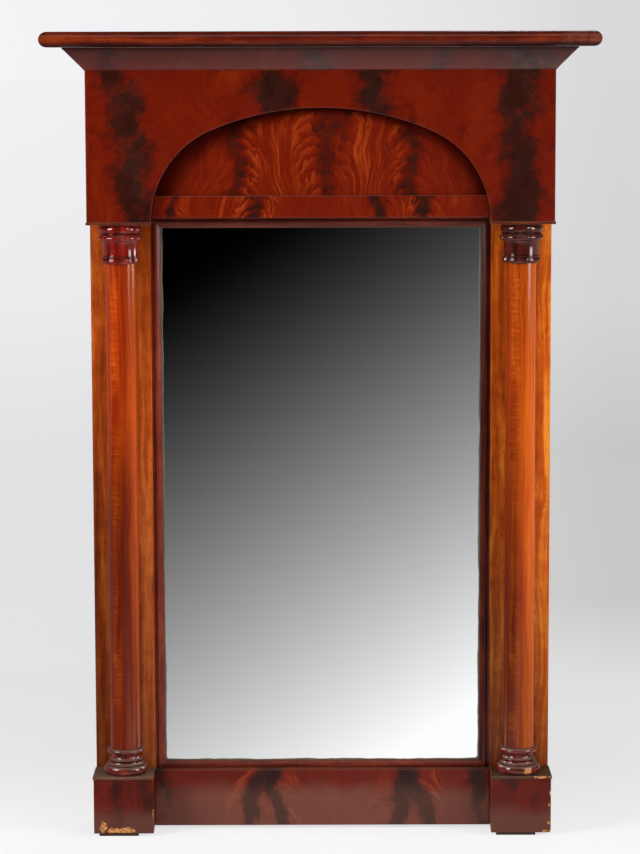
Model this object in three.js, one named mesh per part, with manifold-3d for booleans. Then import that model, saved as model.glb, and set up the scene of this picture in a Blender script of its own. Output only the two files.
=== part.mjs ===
// Overmantel mirror in the Empire manner: a veneered pine frame with two turned columns, an arched
// frieze under a canted cornice, and a silvered plate held in the back by pine slips and boards.
// Millimetres, +Z up, +X to the right as seen from the room, +Y towards the wall. The origin is on the
// standing surface, in the middle of the width and of the depth.

import * as THREE from "three";
import { mergeVertices } from "three/addons/utils/BufferGeometryUtils.js";
import Module from "manifold-3d";

const wasm = await Module();
wasm.setup();

// ---------------------------------------------------------------- driving dimensions

// Clearances
const glueLine = 0.1; // between faces that are glued together
const looseFit = 0.3; // round tenons, pins and boards that are pushed into place

// Heights, from the standing surface up
const padHeight = 4;
const plinthHeight = 77;
const plinthCapThickness = 4;
const columnHeight = 771; // base, shaft and capital together
const soffitPlateThickness = 4;
const friezeHeight = 206;
const splayHeight = 31;
const corniceThickness = 21;

// Widths and depths
const frameWidth = 640; // over the stiles, the frieze and the plinth blocks
const stileWidth = 83.7;
const frontProjection = 62; // of the frieze and the plinths, from the stiles' face
const corniceOverhang = 57; // of the cornice board beyond the frieze, to the front and the sides
const plateOverhang = 1.3; // of the soffit plates and plinth caps beyond the faces under them

// Carcass
const rebateDepth = 8; // in the stiles' back edge, for the backboards
const rebateWidth = 12;
const tenonLength = 30;
const tenonThickness = 8;
const tenonShoulder = 12; // from a rail's edges to its tenon's
const mortiseEndRoom = 1;
const facingThickness = 18; // of the bottom rail's veneered facing
const facingReveal = 1.5; // from the plinth caps' top down to the facing's top
const facingLip = 5; // of the facing above the bottom rail behind it
const topRailRise = 2; // of the top rail's underside above the frieze's

// Frieze
const friezeBoardThickness = 20;
const returnThickness = 15;
const archInset = 4.3; // of the arch's springing from the stiles' inner edge, towards the middle
const archCrownMargin = 51; // of frieze board left above the crown
const haunchDrop = 20; // of the haunch arcs' tops below the crown
const lunetteThickness = 8;
const lunetteLap = 20; // of the lunette panel behind the frieze board, all round the arch
const bandDrop = 4.8; // of the arch band's underside above the springing
const bandHeight = 30;
const bandThickness = 8;
const bottomBoardThickness = 12;

// Cornice
const splayProjection = 28.5;
const splayFillet = 1.4;
const nosingWidth = 14; // of the bullnose edging glued to the cornice board

// Plinths
const padWidth = 55;
const padShift = -7; // of both foot pads, to the left of their plinths' middle
const padInset = 2; // from the plinths' front face
const padBackInset = 4; // from the stiles' back face

// Columns
const columnShift = 2; // of the columns' axes from the stiles' middle, towards the glass
const baseHeight = 36;
const capitalHeight = 54;
const shaftFootRadius = 21;
const shaftHeadRadius = 20.6;
const tenonRadius = 11; // of the turned tenons on the shaft's ends
const tenonSetback = 1; // of the tenons' ends inside the base and the capital
const baseTorusRadius = 30.7;
const baseRingRadius = 26.2;
const baseNeckRadius = 19.8;
const capitalTorusRadius = 29.4;
const capitalRingRadius = 30.6;
const capitalNeckRadius = 24.4;
const astragalRadius = 26.3;

// Glazing
const sightWidth = 13.8;
const sightDepth = 9;
const glassThickness = 4;
const glassMargin = 1; // round the plate's edges
const slipThickness = 6.7;
const slipWidth = 10;
const backboardThickness = 7;
const backboardLap = 20; // of the backboards over the rails
const backboardCount = 2;
const nailInset = 25; // from a backboard's edges
const nailLength = 17;
const nailRadius = 1.1;
const nailHeadRadius = 2.8;
const nailHeadHeight = 0.6;

// Hanging
const hangerSpacing = 300;
const hangerDrop = 80; // from the cornice board's underside to the rings' pivot
const strapWidth = 16;
const strapThickness = 1.5;
const strapHeight = 25; // above the pivot
const ringWire = 1.8; // radius
const ringHalfWidth = 14;
const ringDrop = 26;
const ringCorner = 4;
const ringRunning = 0.35; // between the ring's bar and the strap's eye
const screwHeights = [10, 19]; // above the pivot
const screwRadius = 1.5;
const screwHeadRadius = 3.6;
const screwHeadHeight = 2.1;
const screwLength = 14;

// Smoothness
const turnedSides = 32;
const nosingSteps = 8;
const archSteps = 6; // of each arc's half
const smallRoundSides = 10;

// ---------------------------------------------------------------- planes worked out from them

const zPlinth = padHeight;
const zPlinthTop = zPlinth + plinthHeight;
const zCapTop = zPlinthTop + plinthCapThickness;
const zSoffit = zCapTop + columnHeight;
const zFrieze = zSoffit + soffitPlateThickness;
const zSplay = zFrieze + friezeHeight;
const zCornice = zSplay + splayHeight;
const zTop = zCornice + corniceThickness;

const railThickness = sightDepth + glassThickness + slipThickness + 3 * glueLine;
const depth = corniceOverhang + frontProjection + railThickness + rebateDepth;
const yBack = depth / 2;
const yRebate = yBack - rebateDepth;
const yStile = yRebate - railThickness;
const yFront = yStile - frontProjection;
const yBoardBack = yFront + friezeBoardThickness;
const yLunetteBack = yBoardBack + glueLine + lunetteThickness;

const xOuter = frameWidth / 2;
const xInner = xOuter - stileWidth;
const xStileMiddle = xOuter - stileWidth / 2;
const xColumn = xStileMiddle - columnShift;
const yColumn = yStile - baseTorusRadius - looseFit;

const facingTop = zCapTop - facingReveal;
const openingBottom = facingTop - facingLip;
const openingTop = zFrieze + topRailRise;

const archHalfWidth = xInner - archInset;
const archRise = friezeHeight - archCrownMargin;
const haunchRadius = archRise - haunchDrop;
const haunchCentre = archHalfWidth - haunchRadius;
const crownRadius = (archHalfWidth ** 2 + archRise ** 2 - 2 * archHalfWidth * haunchRadius)
  / (2 * (archRise - haunchRadius));
const crownCentre = archRise - crownRadius; // above the springing, and below it where negative
const bandBottom = zFrieze + bandDrop;

const zHanger = zCornice - hangerDrop;
const eyeBore = ringWire + ringRunning;
const eyeRadius = eyeBore + strapThickness;
const yPivot = yRebate + glueLine + eyeRadius;

// ---------------------------------------------------------------- materials

const material = (color, roughness, metalness = 0) =>
  new THREE.MeshStandardMaterial({ color, roughness, metalness });
const crotchMahogany = () => material(0x6e2413, 0.28);
const straightMahogany = () => material(0x8c4418, 0.32);
const turnedMahogany = () => material(0x5e1a10, 0.2);
const shaftMahogany = () => material(0x8a3014, 0.22);
const pine = () => material(0xb48a5a, 0.8);
const silvering = () => material(0xd5dadb, 0.04, 1);
const iron = () => material(0x3a3633, 0.55, 0.85);

// ---------------------------------------------------------------- making shapes

const outline = (points) => new THREE.Shape(points.map(([a, b]) => new THREE.Vector2(a, b)));

// The three ways a flat outline is set up before it is carried along an axis. Each maps the outline's
// two directions and the way it is carried to X, Y and Z without mirroring it.
const X = new THREE.Vector3(1, 0, 0);
const Y = new THREE.Vector3(0, 1, 0);
const Z = new THREE.Vector3(0, 0, 1);
const alongX = new THREE.Matrix4().makeBasis(Y, Z, X);
const alongY = new THREE.Matrix4().makeBasis(X, Z, Y.clone().negate());
const alongZ = new THREE.Matrix4().makeBasis(X, Y, Z);

// A prism of an outline's thickness: along X and Z it grows that way, along Y it grows towards the room.
function prism(shape, thickness, setUp, curveSegments = archSteps) {
  const geometry = new THREE.ExtrudeGeometry(shape, {
    depth: thickness,
    bevelEnabled: false,
    curveSegments,
  });
  return geometry.applyMatrix4(setUp);
}

function mesh(name, geometry, itsMaterial, x = 0, y = 0, z = 0) {
  const piece = new THREE.Mesh(geometry, itsMaterial);
  piece.name = name;
  piece.position.set(x, y, z);
  return piece;
}

// A board or block between two corners.
function blockGeometry([x0, y0, z0], [x1, y1, z1]) {
  const geometry = new THREE.BoxGeometry(x1 - x0, y1 - y0, z1 - z0);
  return geometry.translate((x0 + x1) / 2, (y0 + y1) / 2, (z0 + z1) / 2);
}

function block(name, low, high, itsMaterial) {
  const [x0, y0, z0] = low;
  const size = high.map((value, i) => value - low[i]);
  const geometry = new THREE.BoxGeometry(...size);
  return mesh(name, geometry, itsMaterial, x0 + size[0] / 2, y0 + size[1] / 2, z0 + size[2] / 2);
}

// The same block on the right (side 1) or, mirrored in X, on the left (side -1).
function sideBlock(name, side, [x0, y0, z0], [x1, y1, z1], itsMaterial) {
  const low = [side > 0 ? x0 : -x1, y0, z0];
  const high = [side > 0 ? x1 : -x0, y1, z1];
  return block(name, low, high, itsMaterial);
}

// A turned piece: its outline, in radius and height, is spun round the axis and stood upright.
function turned(points, sides = turnedSides) {
  const profile = points.map(([radius, height]) => new THREE.Vector2(radius, height));
  return new THREE.LatheGeometry(profile, sides);
}

// A body between two outlines of the same points: the sides join them, and both ends are closed.
function runBetween(profile, startAt, endAt) {
  const flat = profile.map(([u, v]) => new THREE.Vector2(u, v));
  const count = flat.length;
  const position = [...profile.map(startAt), ...profile.map(endAt)].flat();
  const index = [];
  for (const [a, b, c] of THREE.ShapeUtils.triangulateShape(flat, [])) {
    index.push(c, b, a, a + count, b + count, c + count);
  }
  for (let i = 0; i < count; i += 1) {
    const next = (i + 1) % count;
    index.push(i, next, next + count, i, next + count, i + count);
  }
  const geometry = new THREE.BufferGeometry();
  geometry.setAttribute("position", new THREE.Float32BufferAttribute(position, 3));
  geometry.setIndex(index);
  return facingOut(geometry);
}

// Turns the triangles of a closed body round where they point inwards.
function facingOut(geometry) {
  const p = geometry.attributes.position;
  const corner = [0, 1, 2].map(() => new THREE.Vector3());
  let volume = 0;
  for (let i = 0; i < geometry.index.count; i += 3) {
    corner.forEach((v, k) => v.fromBufferAttribute(p, geometry.index.getX(i + k)));
    volume += corner[0].dot(corner[1].clone().cross(corner[2]));
  }
  if (volume < 0) {
    geometry.index.array.reverse();
  }
  return geometry;
}

// A ring of round wire along a closed flat path in X and Z.
function wireLoop(path, wireRadius, sides) {
  const position = [];
  const index = [];
  const count = path.length;
  path.forEach(([x, z], i) => {
    const before = path[(i + count - 1) % count];
    const after = path[(i + 1) % count];
    const along = new THREE.Vector2(after[0] - before[0], after[1] - before[1]).normalize();
    for (let k = 0; k < sides; k += 1) {
      const turn = (k / sides) * 2 * Math.PI;
      const out = wireRadius * Math.cos(turn);
      position.push(x + out * along.y, wireRadius * Math.sin(turn), z - out * along.x);
    }
  });
  for (let i = 0; i < count; i += 1) {
    const next = (i + 1) % count;
    for (let k = 0; k < sides; k += 1) {
      const kNext = (k + 1) % sides;
      const [a, b, c, d] = [i * sides + k, next * sides + k, next * sides + kNext, i * sides + kNext];
      index.push(a, b, c, a, c, d);
    }
  }
  const geometry = new THREE.BufferGeometry();
  geometry.setAttribute("position", new THREE.Float32BufferAttribute(position, 3));
  geometry.setIndex(index);
  return facingOut(geometry);
}

// ---------------------------------------------------------------- joining and cutting

function toSolid(geometry) {
  const bare = geometry.clone();
  bare.deleteAttribute("normal");
  bare.deleteAttribute("uv");
  const merged = mergeVertices(bare, 1e-3);
  return new wasm.Manifold(new wasm.Mesh({
    numProp: 3,
    vertProperties: new Float32Array(merged.attributes.position.array),
    triVerts: new Uint32Array(merged.index.array),
  }));
}

function toGeometry(solid) {
  const { vertProperties, triVerts } = solid.getMesh();
  const geometry = new THREE.BufferGeometry();
  geometry.setAttribute("position", new THREE.BufferAttribute(vertProperties, 3));
  geometry.setIndex(new THREE.BufferAttribute(triVerts, 1));
  return geometry;
}

function cut(geometry, tools) {
  return toGeometry(tools.reduce((solid, tool) => solid.subtract(toSolid(tool)), toSolid(geometry)));
}

function join(geometry, additions) {
  return toGeometry(additions.reduce((solid, part) => solid.add(toSolid(part)), toSolid(geometry)));
}

// A round tool for a hole along Y, between two depths.
function boringTool(radius, x, y0, y1, z) {
  const tool = new THREE.CylinderGeometry(radius, radius, y1 - y0, smallRoundSides);
  return tool.translate(x, (y0 + y1) / 2, z);
}

// ---------------------------------------------------------------- places shared by several pieces

const rails = {
  top: [openingTop, zCornice - glueLine],
  bottom: [zPlinth, openingBottom],
};
const tenonY = yStile + (railThickness - tenonThickness) / 2;

const backboardLow = openingBottom - backboardLap;
const backboardHigh = openingTop + backboardLap;
const backboardWidth = (backboardHigh - backboardLow) / backboardCount;
const yBackboard = yRebate + glueLine;
const yBackboardFace = yBackboard + backboardThickness;
const xNail = xInner + rebateWidth / 2;
const nailDepth = nailLength - backboardThickness - glueLine;

// The heights of every nail: one near each edge of each backboard.
const nailHeights = [];
for (let i = 0; i < backboardCount; i += 1) {
  const low = backboardLow + i * backboardWidth;
  nailHeights.push(low + nailInset, low + backboardWidth - nailInset);
}

const sideName = (side) => (side > 0 ? "right" : "left");

// ---------------------------------------------------------------- carcass

// A board with a rebate along its back inner edge, two mortises for the rails and blind nail holes.
function stile(side) {
  const section = outline([
    [xInner, yStile],
    [xOuter, yStile],
    [xOuter, yBack],
    [xInner + rebateWidth, yBack],
    [xInner + rebateWidth, yRebate],
    [xInner, yRebate],
  ].map(([x, y]) => [side * x, y]));
  const board = prism(section, zCornice - glueLine - zPlinth, alongZ).translate(0, 0, zPlinth);
  const mortises = Object.values(rails).map(([low, high]) => {
    const ends = [xInner - 1, xInner + tenonLength + mortiseEndRoom].map((x) => side * x);
    return blockGeometry(
      [Math.min(...ends), tenonY - looseFit, low + tenonShoulder - looseFit],
      [Math.max(...ends), tenonY + tenonThickness + looseFit, high - tenonShoulder + looseFit],
    );
  });
  const nailHoles = nailHeights.map((z) =>
    boringTool(nailRadius + looseFit, side * xNail, yRebate - nailDepth - 1, yRebate + 1, z));
  return mesh(`stile_${sideName(side)}`, cut(board, [...mortises, ...nailHoles]), straightMahogany());
}

// A rail between the stiles, with a tenon on each end.
function rail(name, [low, high], holes = []) {
  const reach = xInner - glueLine;
  const body = blockGeometry([-reach, yStile, low], [reach, yRebate, high]);
  const tenons = blockGeometry(
    [-xInner - tenonLength, tenonY, low + tenonShoulder],
    [xInner + tenonLength, tenonY + tenonThickness, high - tenonShoulder],
  );
  return mesh(name, cut(join(body, [tenons]), holes), pine());
}

function carcass() {
  const group = new THREE.Group();
  const screwHoles = [-1, 1].flatMap((side) => screwHeights.map((height) => boringTool(
    screwRadius + looseFit,
    side * hangerSpacing / 2,
    yRebate - screwLength - 1,
    yRebate + 1,
    zHanger + height,
  )));
  const facingReach = xInner - glueLine;
  group.add(
    stile(-1),
    stile(1),
    rail("top_rail", rails.top, screwHoles),
    rail("bottom_rail", rails.bottom),
    block(
      "bottom_rail_facing",
      [-facingReach, yStile - facingThickness, zPlinth],
      [facingReach, yStile - glueLine, facingTop],
      crotchMahogany(),
    ),
  );
  return group;
}

// ---------------------------------------------------------------- plinths

function plinth(side) {
  const group = new THREE.Group();
  const name = sideName(side);
  const padMiddle = side * xStileMiddle + padShift;
  group.add(
    block(
      `foot_pad_${name}`,
      [padMiddle - padWidth / 2, yFront + padInset, 0],
      [padMiddle + padWidth / 2, yBack - padBackInset, padHeight - glueLine],
      pine(),
    ),
    sideBlock(
      `plinth_block_${name}`,
      side,
      [xInner, yFront, zPlinth],
      [xOuter, yStile - glueLine, zPlinthTop - glueLine],
      crotchMahogany(),
    ),
    sideBlock(
      `plinth_cap_${name}`,
      side,
      [xInner, yFront - plateOverhang, zPlinthTop],
      [xOuter + plateOverhang, yStile - glueLine, zCapTop - glueLine],
      straightMahogany(),
    ),
  );
  return group;
}

// ---------------------------------------------------------------- columns

// A rounded swell of a turned outline, between two radii and two heights, that bulges to the radius out.
function swell(inner, out, low, high, steps) {
  const points = [];
  for (let i = 0; i <= steps; i += 1) {
    const turn = (i / steps) * Math.PI - Math.PI / 2;
    const height = (low + high) / 2 + ((high - low) / 2) * Math.sin(turn);
    points.push([inner + (out - inner) * Math.cos(turn), height]);
  }
  return points;
}

// The base from its foot up: torus, fillet, hollow with a small bead, ring. It is bored for the tenon.
// Heights here and in the capital are shares of the piece's own height.
function baseProfile() {
  const bore = tenonRadius + looseFit;
  return [
    [bore, 0],
    ...swell(baseTorusRadius - 3, baseTorusRadius, 0, 0.345, 5),
    [baseTorusRadius - 4, 0.35],
    [baseTorusRadius - 4.2, 0.395],
    [baseNeckRadius + 4.6, 0.45],
    [baseNeckRadius + 3.4, 0.5],
    [baseNeckRadius + 3.6, 0.545],
    [baseNeckRadius + 1.4, 0.595],
    [baseNeckRadius, 0.68],
    [baseNeckRadius + 0.6, 0.745],
    ...swell(baseRingRadius - 2, baseRingRadius, 0.8, 0.96, 3),
    [baseRingRadius - 3, 1],
    [bore, 1],
    [bore, 0],
  ].map(([radius, share]) => [radius, share * baseHeight]);
}

// The capital from its foot up: astragal and fillet, neck, hollow, ring, groove, torus, top fillet.
function capitalProfile() {
  const bore = tenonRadius + looseFit;
  return [
    [bore, 0],
    [astragalRadius - 3, 0],
    ...swell(astragalRadius - 2, astragalRadius, 0.007, 0.137, 4),
    [astragalRadius - 1, 0.141],
    [astragalRadius - 1, 0.174],
    [capitalNeckRadius, 0.185],
    [capitalNeckRadius - 0.3, 0.34],
    [capitalNeckRadius + 0.2, 0.5],
    [capitalNeckRadius + 2.4, 0.582],
    ...swell(capitalRingRadius - 1.8, capitalRingRadius, 0.593, 0.711, 3),
    [capitalRingRadius - 3.4, 0.741],
    [capitalRingRadius - 3.6, 0.774],
    ...swell(capitalTorusRadius - 2, capitalTorusRadius, 0.782, 0.967, 4),
    [capitalTorusRadius - 1.8, 0.97],
    [capitalTorusRadius - 1.8, 1],
    [bore, 1],
    [bore, 0],
  ].map(([radius, share]) => [radius, share * capitalHeight]);
}

// The shaft tapers a little, and a turned tenon on each end passes into the base and the capital.
function shaftProfile(low, high) {
  return [
    [0, low - baseHeight + tenonSetback],
    [tenonRadius, low - baseHeight + tenonSetback],
    [tenonRadius, low],
    [shaftFootRadius, low],
    [shaftHeadRadius, high],
    [tenonRadius, high],
    [tenonRadius, high + capitalHeight - tenonSetback],
    [0, high + capitalHeight - tenonSetback],
  ];
}

// A turned piece stands upright: the lathe's axis is turned from Y to Z.
function standing(name, profile, itsMaterial, x, z) {
  const piece = mesh(name, turned(profile), itsMaterial, x, yColumn, z);
  piece.rotation.x = Math.PI / 2;
  return piece;
}

function column(side) {
  const group = new THREE.Group();
  const name = sideName(side);
  const x = side * xColumn;
  const zShaft = zCapTop + baseHeight + glueLine;
  const zCapital = zSoffit - glueLine - capitalHeight;
  group.add(
    standing(`column_base_${name}`, baseProfile(), turnedMahogany(), x, zCapTop),
    standing(`column_shaft_${name}`, shaftProfile(zShaft, zCapital - glueLine), shaftMahogany(), x, 0),
    standing(`column_capital_${name}`, capitalProfile(), turnedMahogany(), x, zCapital),
  );
  return group;
}

// ---------------------------------------------------------------- frieze

// The board's front view: a rectangle with a three-centred arch cut up into it from below.
function friezeOutline() {
  const crownTurn = Math.atan2(-crownCentre, haunchCentre);
  const shape = new THREE.Shape();
  shape.moveTo(-xOuter, 0);
  shape.lineTo(-archHalfWidth, 0);
  shape.absarc(-haunchCentre, 0, haunchRadius, Math.PI, Math.PI - crownTurn, true);
  shape.absarc(0, crownCentre, crownRadius, Math.PI - crownTurn, crownTurn, true);
  shape.absarc(haunchCentre, 0, haunchRadius, crownTurn, 0, true);
  shape.lineTo(xOuter, 0);
  shape.lineTo(xOuter, zCornice - glueLine - zFrieze);
  shape.lineTo(-xOuter, zCornice - glueLine - zFrieze);
  return shape;
}

// The band closes the foot of the arch: its ends follow the haunches.
function bandOutline() {
  const radius = haunchRadius - looseFit;
  const [low, high] = [bandDrop, bandDrop + bandHeight].map((height) => Math.asin(height / radius));
  const shape = new THREE.Shape();
  shape.absarc(haunchCentre, 0, radius, low, high, false);
  shape.absarc(-haunchCentre, 0, radius, Math.PI - high, Math.PI - low, false);
  return shape;
}

function frieze() {
  const group = new THREE.Group();
  const lunetteReach = archHalfWidth + lunetteLap;
  group.add(
    mesh("frieze_board", prism(friezeOutline(), friezeBoardThickness, alongY), crotchMahogany(),
      0, yBoardBack, zFrieze),
    mesh("arch_band", prism(bandOutline(), bandThickness - glueLine, alongY), crotchMahogany(),
      0, yBoardBack - glueLine, zFrieze),
    block(
      "lunette_panel",
      [-lunetteReach, yBoardBack + glueLine, bandBottom],
      [lunetteReach, yLunetteBack, zFrieze + archRise + lunetteLap],
      crotchMahogany(),
    ),
    block(
      "frieze_bottom_board",
      [-lunetteReach, yLunetteBack + glueLine, bandBottom],
      [lunetteReach, yStile - glueLine, bandBottom + bottomBoardThickness],
      pine(),
    ),
  );
  for (const side of [-1, 1]) {
    group.add(
      sideBlock(
        `frieze_return_${sideName(side)}`,
        side,
        [xOuter - returnThickness, yBoardBack + glueLine, zFrieze],
        [xOuter, yStile - glueLine, zCornice - glueLine],
        crotchMahogany(),
      ),
      sideBlock(
        `soffit_plate_${sideName(side)}`,
        side,
        [archHalfWidth, yFront - plateOverhang, zSoffit],
        [xOuter + plateOverhang, yStile - glueLine, zFrieze - glueLine],
        straightMahogany(),
      ),
    );
  }
  return group;
}

// ---------------------------------------------------------------- cornice

// Three mitred runs of one section along the front and both sides. The section's first number is how
// far a point stands out from the faces at x and y, the second its height above z.
function corniceRuns(name, section, x, y, z, itsMaterial) {
  const gap = glueLine / 2;
  const frontEnd = (side) => ([out, up]) => [side * (x + out - gap), y - out, z + up];
  const runs = [mesh(`${name}_front`, runBetween(section, frontEnd(-1), frontEnd(1)), itsMaterial())];
  for (const side of [-1, 1]) {
    const mitre = ([out, up]) => [side * (x + out), y - out + gap, z + up];
    const square = ([out, up]) => [side * (x + out), yBack, z + up];
    runs.push(mesh(`${name}_${sideName(side)}`, runBetween(section, mitre, square), itsMaterial()));
  }
  return runs;
}

function cornice() {
  const group = new THREE.Group();
  const splaySection = [
    [glueLine, 0],
    [splayFillet, 0],
    [splayFillet, splayFillet],
    [splayProjection, splayHeight - splayFillet],
    [splayProjection, splayHeight - glueLine],
    [glueLine, splayHeight - glueLine],
  ];
  const boardReach = corniceOverhang - nosingWidth;
  const round = corniceThickness / 2;
  const nosingSection = [[glueLine, 0]];
  for (let i = 0; i <= nosingSteps; i += 1) {
    const turn = (i / nosingSteps) * Math.PI - Math.PI / 2;
    nosingSection.push([nosingWidth - round + round * Math.cos(turn), round + round * Math.sin(turn)]);
  }
  nosingSection.push([glueLine, corniceThickness]);
  group.add(
    ...corniceRuns("splay", splaySection, xOuter, yFront, zSplay, crotchMahogany),
    block(
      "cornice_board",
      [-xOuter - boardReach, yFront - boardReach, zCornice],
      [xOuter + boardReach, yBack, zTop],
      pine(),
    ),
    ...corniceRuns("nosing", nosingSection, xOuter + boardReach, yFront - boardReach, zCornice,
      crotchMahogany),
  );
  return group;
}

// ---------------------------------------------------------------- glazing

// The sight moulding's section: a quirk at the stile, an ovolo, a flat fillet at the glass. The first
// number runs from the stile towards the glass, the second from the stiles' face back.
const sightSection = [
  [0, 1],
  [0, 0.38],
  [0.23, 0.38],
  [0.27, 0.24],
  [0.38, 0.15],
  [0.52, 0.22],
  [0.66, 0.44],
  [0.72, 0.62],
  [0.76, 0.58],
  [0.97, 0.7],
  [1, 0.78],
  [1, 1],
].map(([across, back]) => [across * sightWidth, back * sightDepth]);

// Four runs, mitred where they meet, just inside the opening between the stiles and the rails.
function sightMoulding() {
  const gap = glueLine / 2;
  const reach = xInner - glueLine;
  const low = openingBottom + glueLine;
  const high = openingTop - glueLine;
  const group = new THREE.Group();
  const run = (name, startAt, endAt) =>
    mesh(`sight_moulding_${name}`, runBetween(sightSection, startAt, endAt), turnedMahogany());
  for (const [name, z, up] of [["bottom", low, 1], ["top", high, -1]]) {
    const end = (side) => ([u, v]) => [side * (reach - u - gap), yStile + v, z + up * u];
    group.add(run(name, end(-1), end(1)));
  }
  for (const side of [-1, 1]) {
    const foot = ([u, v]) => [side * (reach - u), yStile + v, low + u + gap];
    const head = ([u, v]) => [side * (reach - u), yStile + v, high - u - gap];
    group.add(run(sideName(side), foot, head));
  }
  return group;
}

function nail(name, x, z) {
  const profile = [
    [0, -nailLength],
    [nailRadius, 3 - nailLength],
    [nailRadius, glueLine],
    [nailHeadRadius, glueLine],
    [nailHeadRadius, glueLine + nailHeadHeight / 2],
    [0, glueLine + nailHeadHeight],
  ];
  return mesh(name, turned(profile, smallRoundSides), iron(), x, yBackboardFace, z);
}

function glazing() {
  const group = new THREE.Group();
  const yGlass = yStile + sightDepth + glueLine;
  const ySlip = yGlass + glassThickness + glueLine;
  const plateReach = xInner - glassMargin;
  const plateLow = openingBottom + glassMargin;
  const plateHigh = openingTop - glassMargin;
  const slipReach = xInner - glueLine;
  const slip = (name, x0, x1, z0, z1) =>
    block(`glass_slip_${name}`, [x0, ySlip, z0], [x1, ySlip + slipThickness, z1], pine());
  const slipLow = openingBottom + glueLine;
  const slipHigh = openingTop - glueLine;
  group.add(
    sightMoulding(),
    block("mirror_glass", [-plateReach, yGlass, plateLow],
      [plateReach, yGlass + glassThickness, plateHigh], silvering()),
    slip("left", -slipReach, -slipReach + slipWidth, slipLow, slipHigh),
    slip("right", slipReach - slipWidth, slipReach, slipLow, slipHigh),
  );
  const slipInner = slipReach - slipWidth - glueLine;
  group.add(
    slip("bottom", -slipInner, slipInner, slipLow, slipLow + slipWidth),
    slip("top", -slipInner, slipInner, slipHigh - slipWidth, slipHigh),
  );
  const boardReach = xInner + rebateWidth - looseFit;
  for (let i = 0; i < backboardCount; i += 1) {
    const low = backboardLow + i * backboardWidth;
    const board = blockGeometry(
      [-boardReach, yBackboard, low],
      [boardReach, yBackboardFace, low + backboardWidth - looseFit],
    );
    const heights = nailHeights.slice(2 * i, 2 * i + 2);
    const holes = heights.flatMap((z) => [-1, 1].map((side) =>
      boringTool(nailRadius + looseFit, side * xNail, yBackboard - 1, yBackboardFace + 1, z)));
    group.add(mesh(`backboard_${i + 1}`, cut(board, holes), pine()));
  }
  let number = 0;
  for (const z of nailHeights) {
    for (const side of [-1, 1]) {
      number += 1;
      group.add(nail(`backboard_nail_${number}`, side * xNail, z));
    }
  }
  return group;
}

// ---------------------------------------------------------------- hanging

// A leaf that lies on the rail, rolled at its foot into an eye for the ring's bar. The outline's first
// direction runs from the rail's back towards the wall, its second up from the pivot.
function strapGeometry(x) {
  const face = glueLine + strapThickness;
  const centre = glueLine + eyeRadius;
  const meet = Math.acos((face - centre) / eyeRadius);
  const shape = new THREE.Shape();
  shape.moveTo(glueLine, 0);
  shape.lineTo(glueLine, strapHeight);
  shape.lineTo(face, strapHeight);
  shape.absarc(centre, 0, eyeRadius, meet, -Math.PI, true);
  const bore = new THREE.Path();
  bore.absarc(centre, 0, eyeBore, 0, 2 * Math.PI, false);
  shape.holes.push(bore);
  const strap = prism(shape, strapWidth, alongX, smallRoundSides)
    .translate(x - strapWidth / 2, yRebate, zHanger);
  const holes = screwHeights.map((height) => boringTool(
    screwRadius + looseFit, x, yRebate - 1, yRebate + face + 1, zHanger + height));
  return cut(strap, holes);
}

// The ring hangs from a straight bar: rounded shoulders, straight sides and a half round foot.
function ringPath() {
  const straight = ringHalfWidth - ringCorner;
  const footCentre = ringHalfWidth - ringDrop;
  const right = [];
  for (let i = 0; i <= 4; i += 1) {
    const turn = (Math.PI / 2) * (1 - i / 4);
    right.push([straight + ringCorner * Math.cos(turn), ringCorner * (Math.sin(turn) - 1)]);
  }
  for (let i = 0; i < 6; i += 1) {
    const turn = (Math.PI / 2) * (i / 6);
    right.push([ringHalfWidth * Math.cos(turn), footCentre - ringHalfWidth * Math.sin(turn)]);
  }
  const left = right.map(([x, z]) => [-x, z]).reverse();
  return [...right, [0, -ringDrop], ...left];
}

function screw(name, x, z) {
  const profile = [
    [0, -screwLength],
    [screwRadius, 2.5 - screwLength],
    [screwRadius, glueLine],
    [screwHeadRadius, glueLine],
    [screwHeadRadius * 0.94, glueLine + screwHeadHeight * 0.5],
    [screwHeadRadius * 0.6, glueLine + screwHeadHeight * 0.86],
    [0, glueLine + screwHeadHeight],
  ];
  return mesh(name, turned(profile, smallRoundSides), iron(), x, yRebate + glueLine + strapThickness, z);
}

function hanging() {
  const group = new THREE.Group();
  for (const side of [-1, 1]) {
    const name = sideName(side);
    const x = side * hangerSpacing / 2;
    group.add(
      mesh(`hanger_strap_${name}`, strapGeometry(x), iron()),
      mesh(`hanger_ring_${name}`, wireLoop(ringPath(), ringWire, smallRoundSides), iron(),
        x, yPivot, zHanger),
      ...screwHeights.map((height, i) => screw(`hanger_screw_${name}_${i + 1}`, x, zHanger + height)),
    );
  }
  return group;
}

// ---------------------------------------------------------------- the mirror

const mirror = new THREE.Group();
mirror.add(
  carcass(),
  plinth(-1),
  plinth(1),
  column(-1),
  column(1),
  frieze(),
  cornice(),
  glazing(),
  hanging(),
);

export default mirror;
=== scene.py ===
"""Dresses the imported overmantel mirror: veneers, turnings, mouldings, plate, pine back and iron hangers.

Every piece is worked out from the frame's own boxes, in metres, +Z up, +Y towards the wall.
"""

import math

import bpy
import numpy as np
from bpy.props import FloatProperty, FloatVectorProperty, IntProperty, PointerProperty
from mathutils import Matrix, Vector


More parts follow.
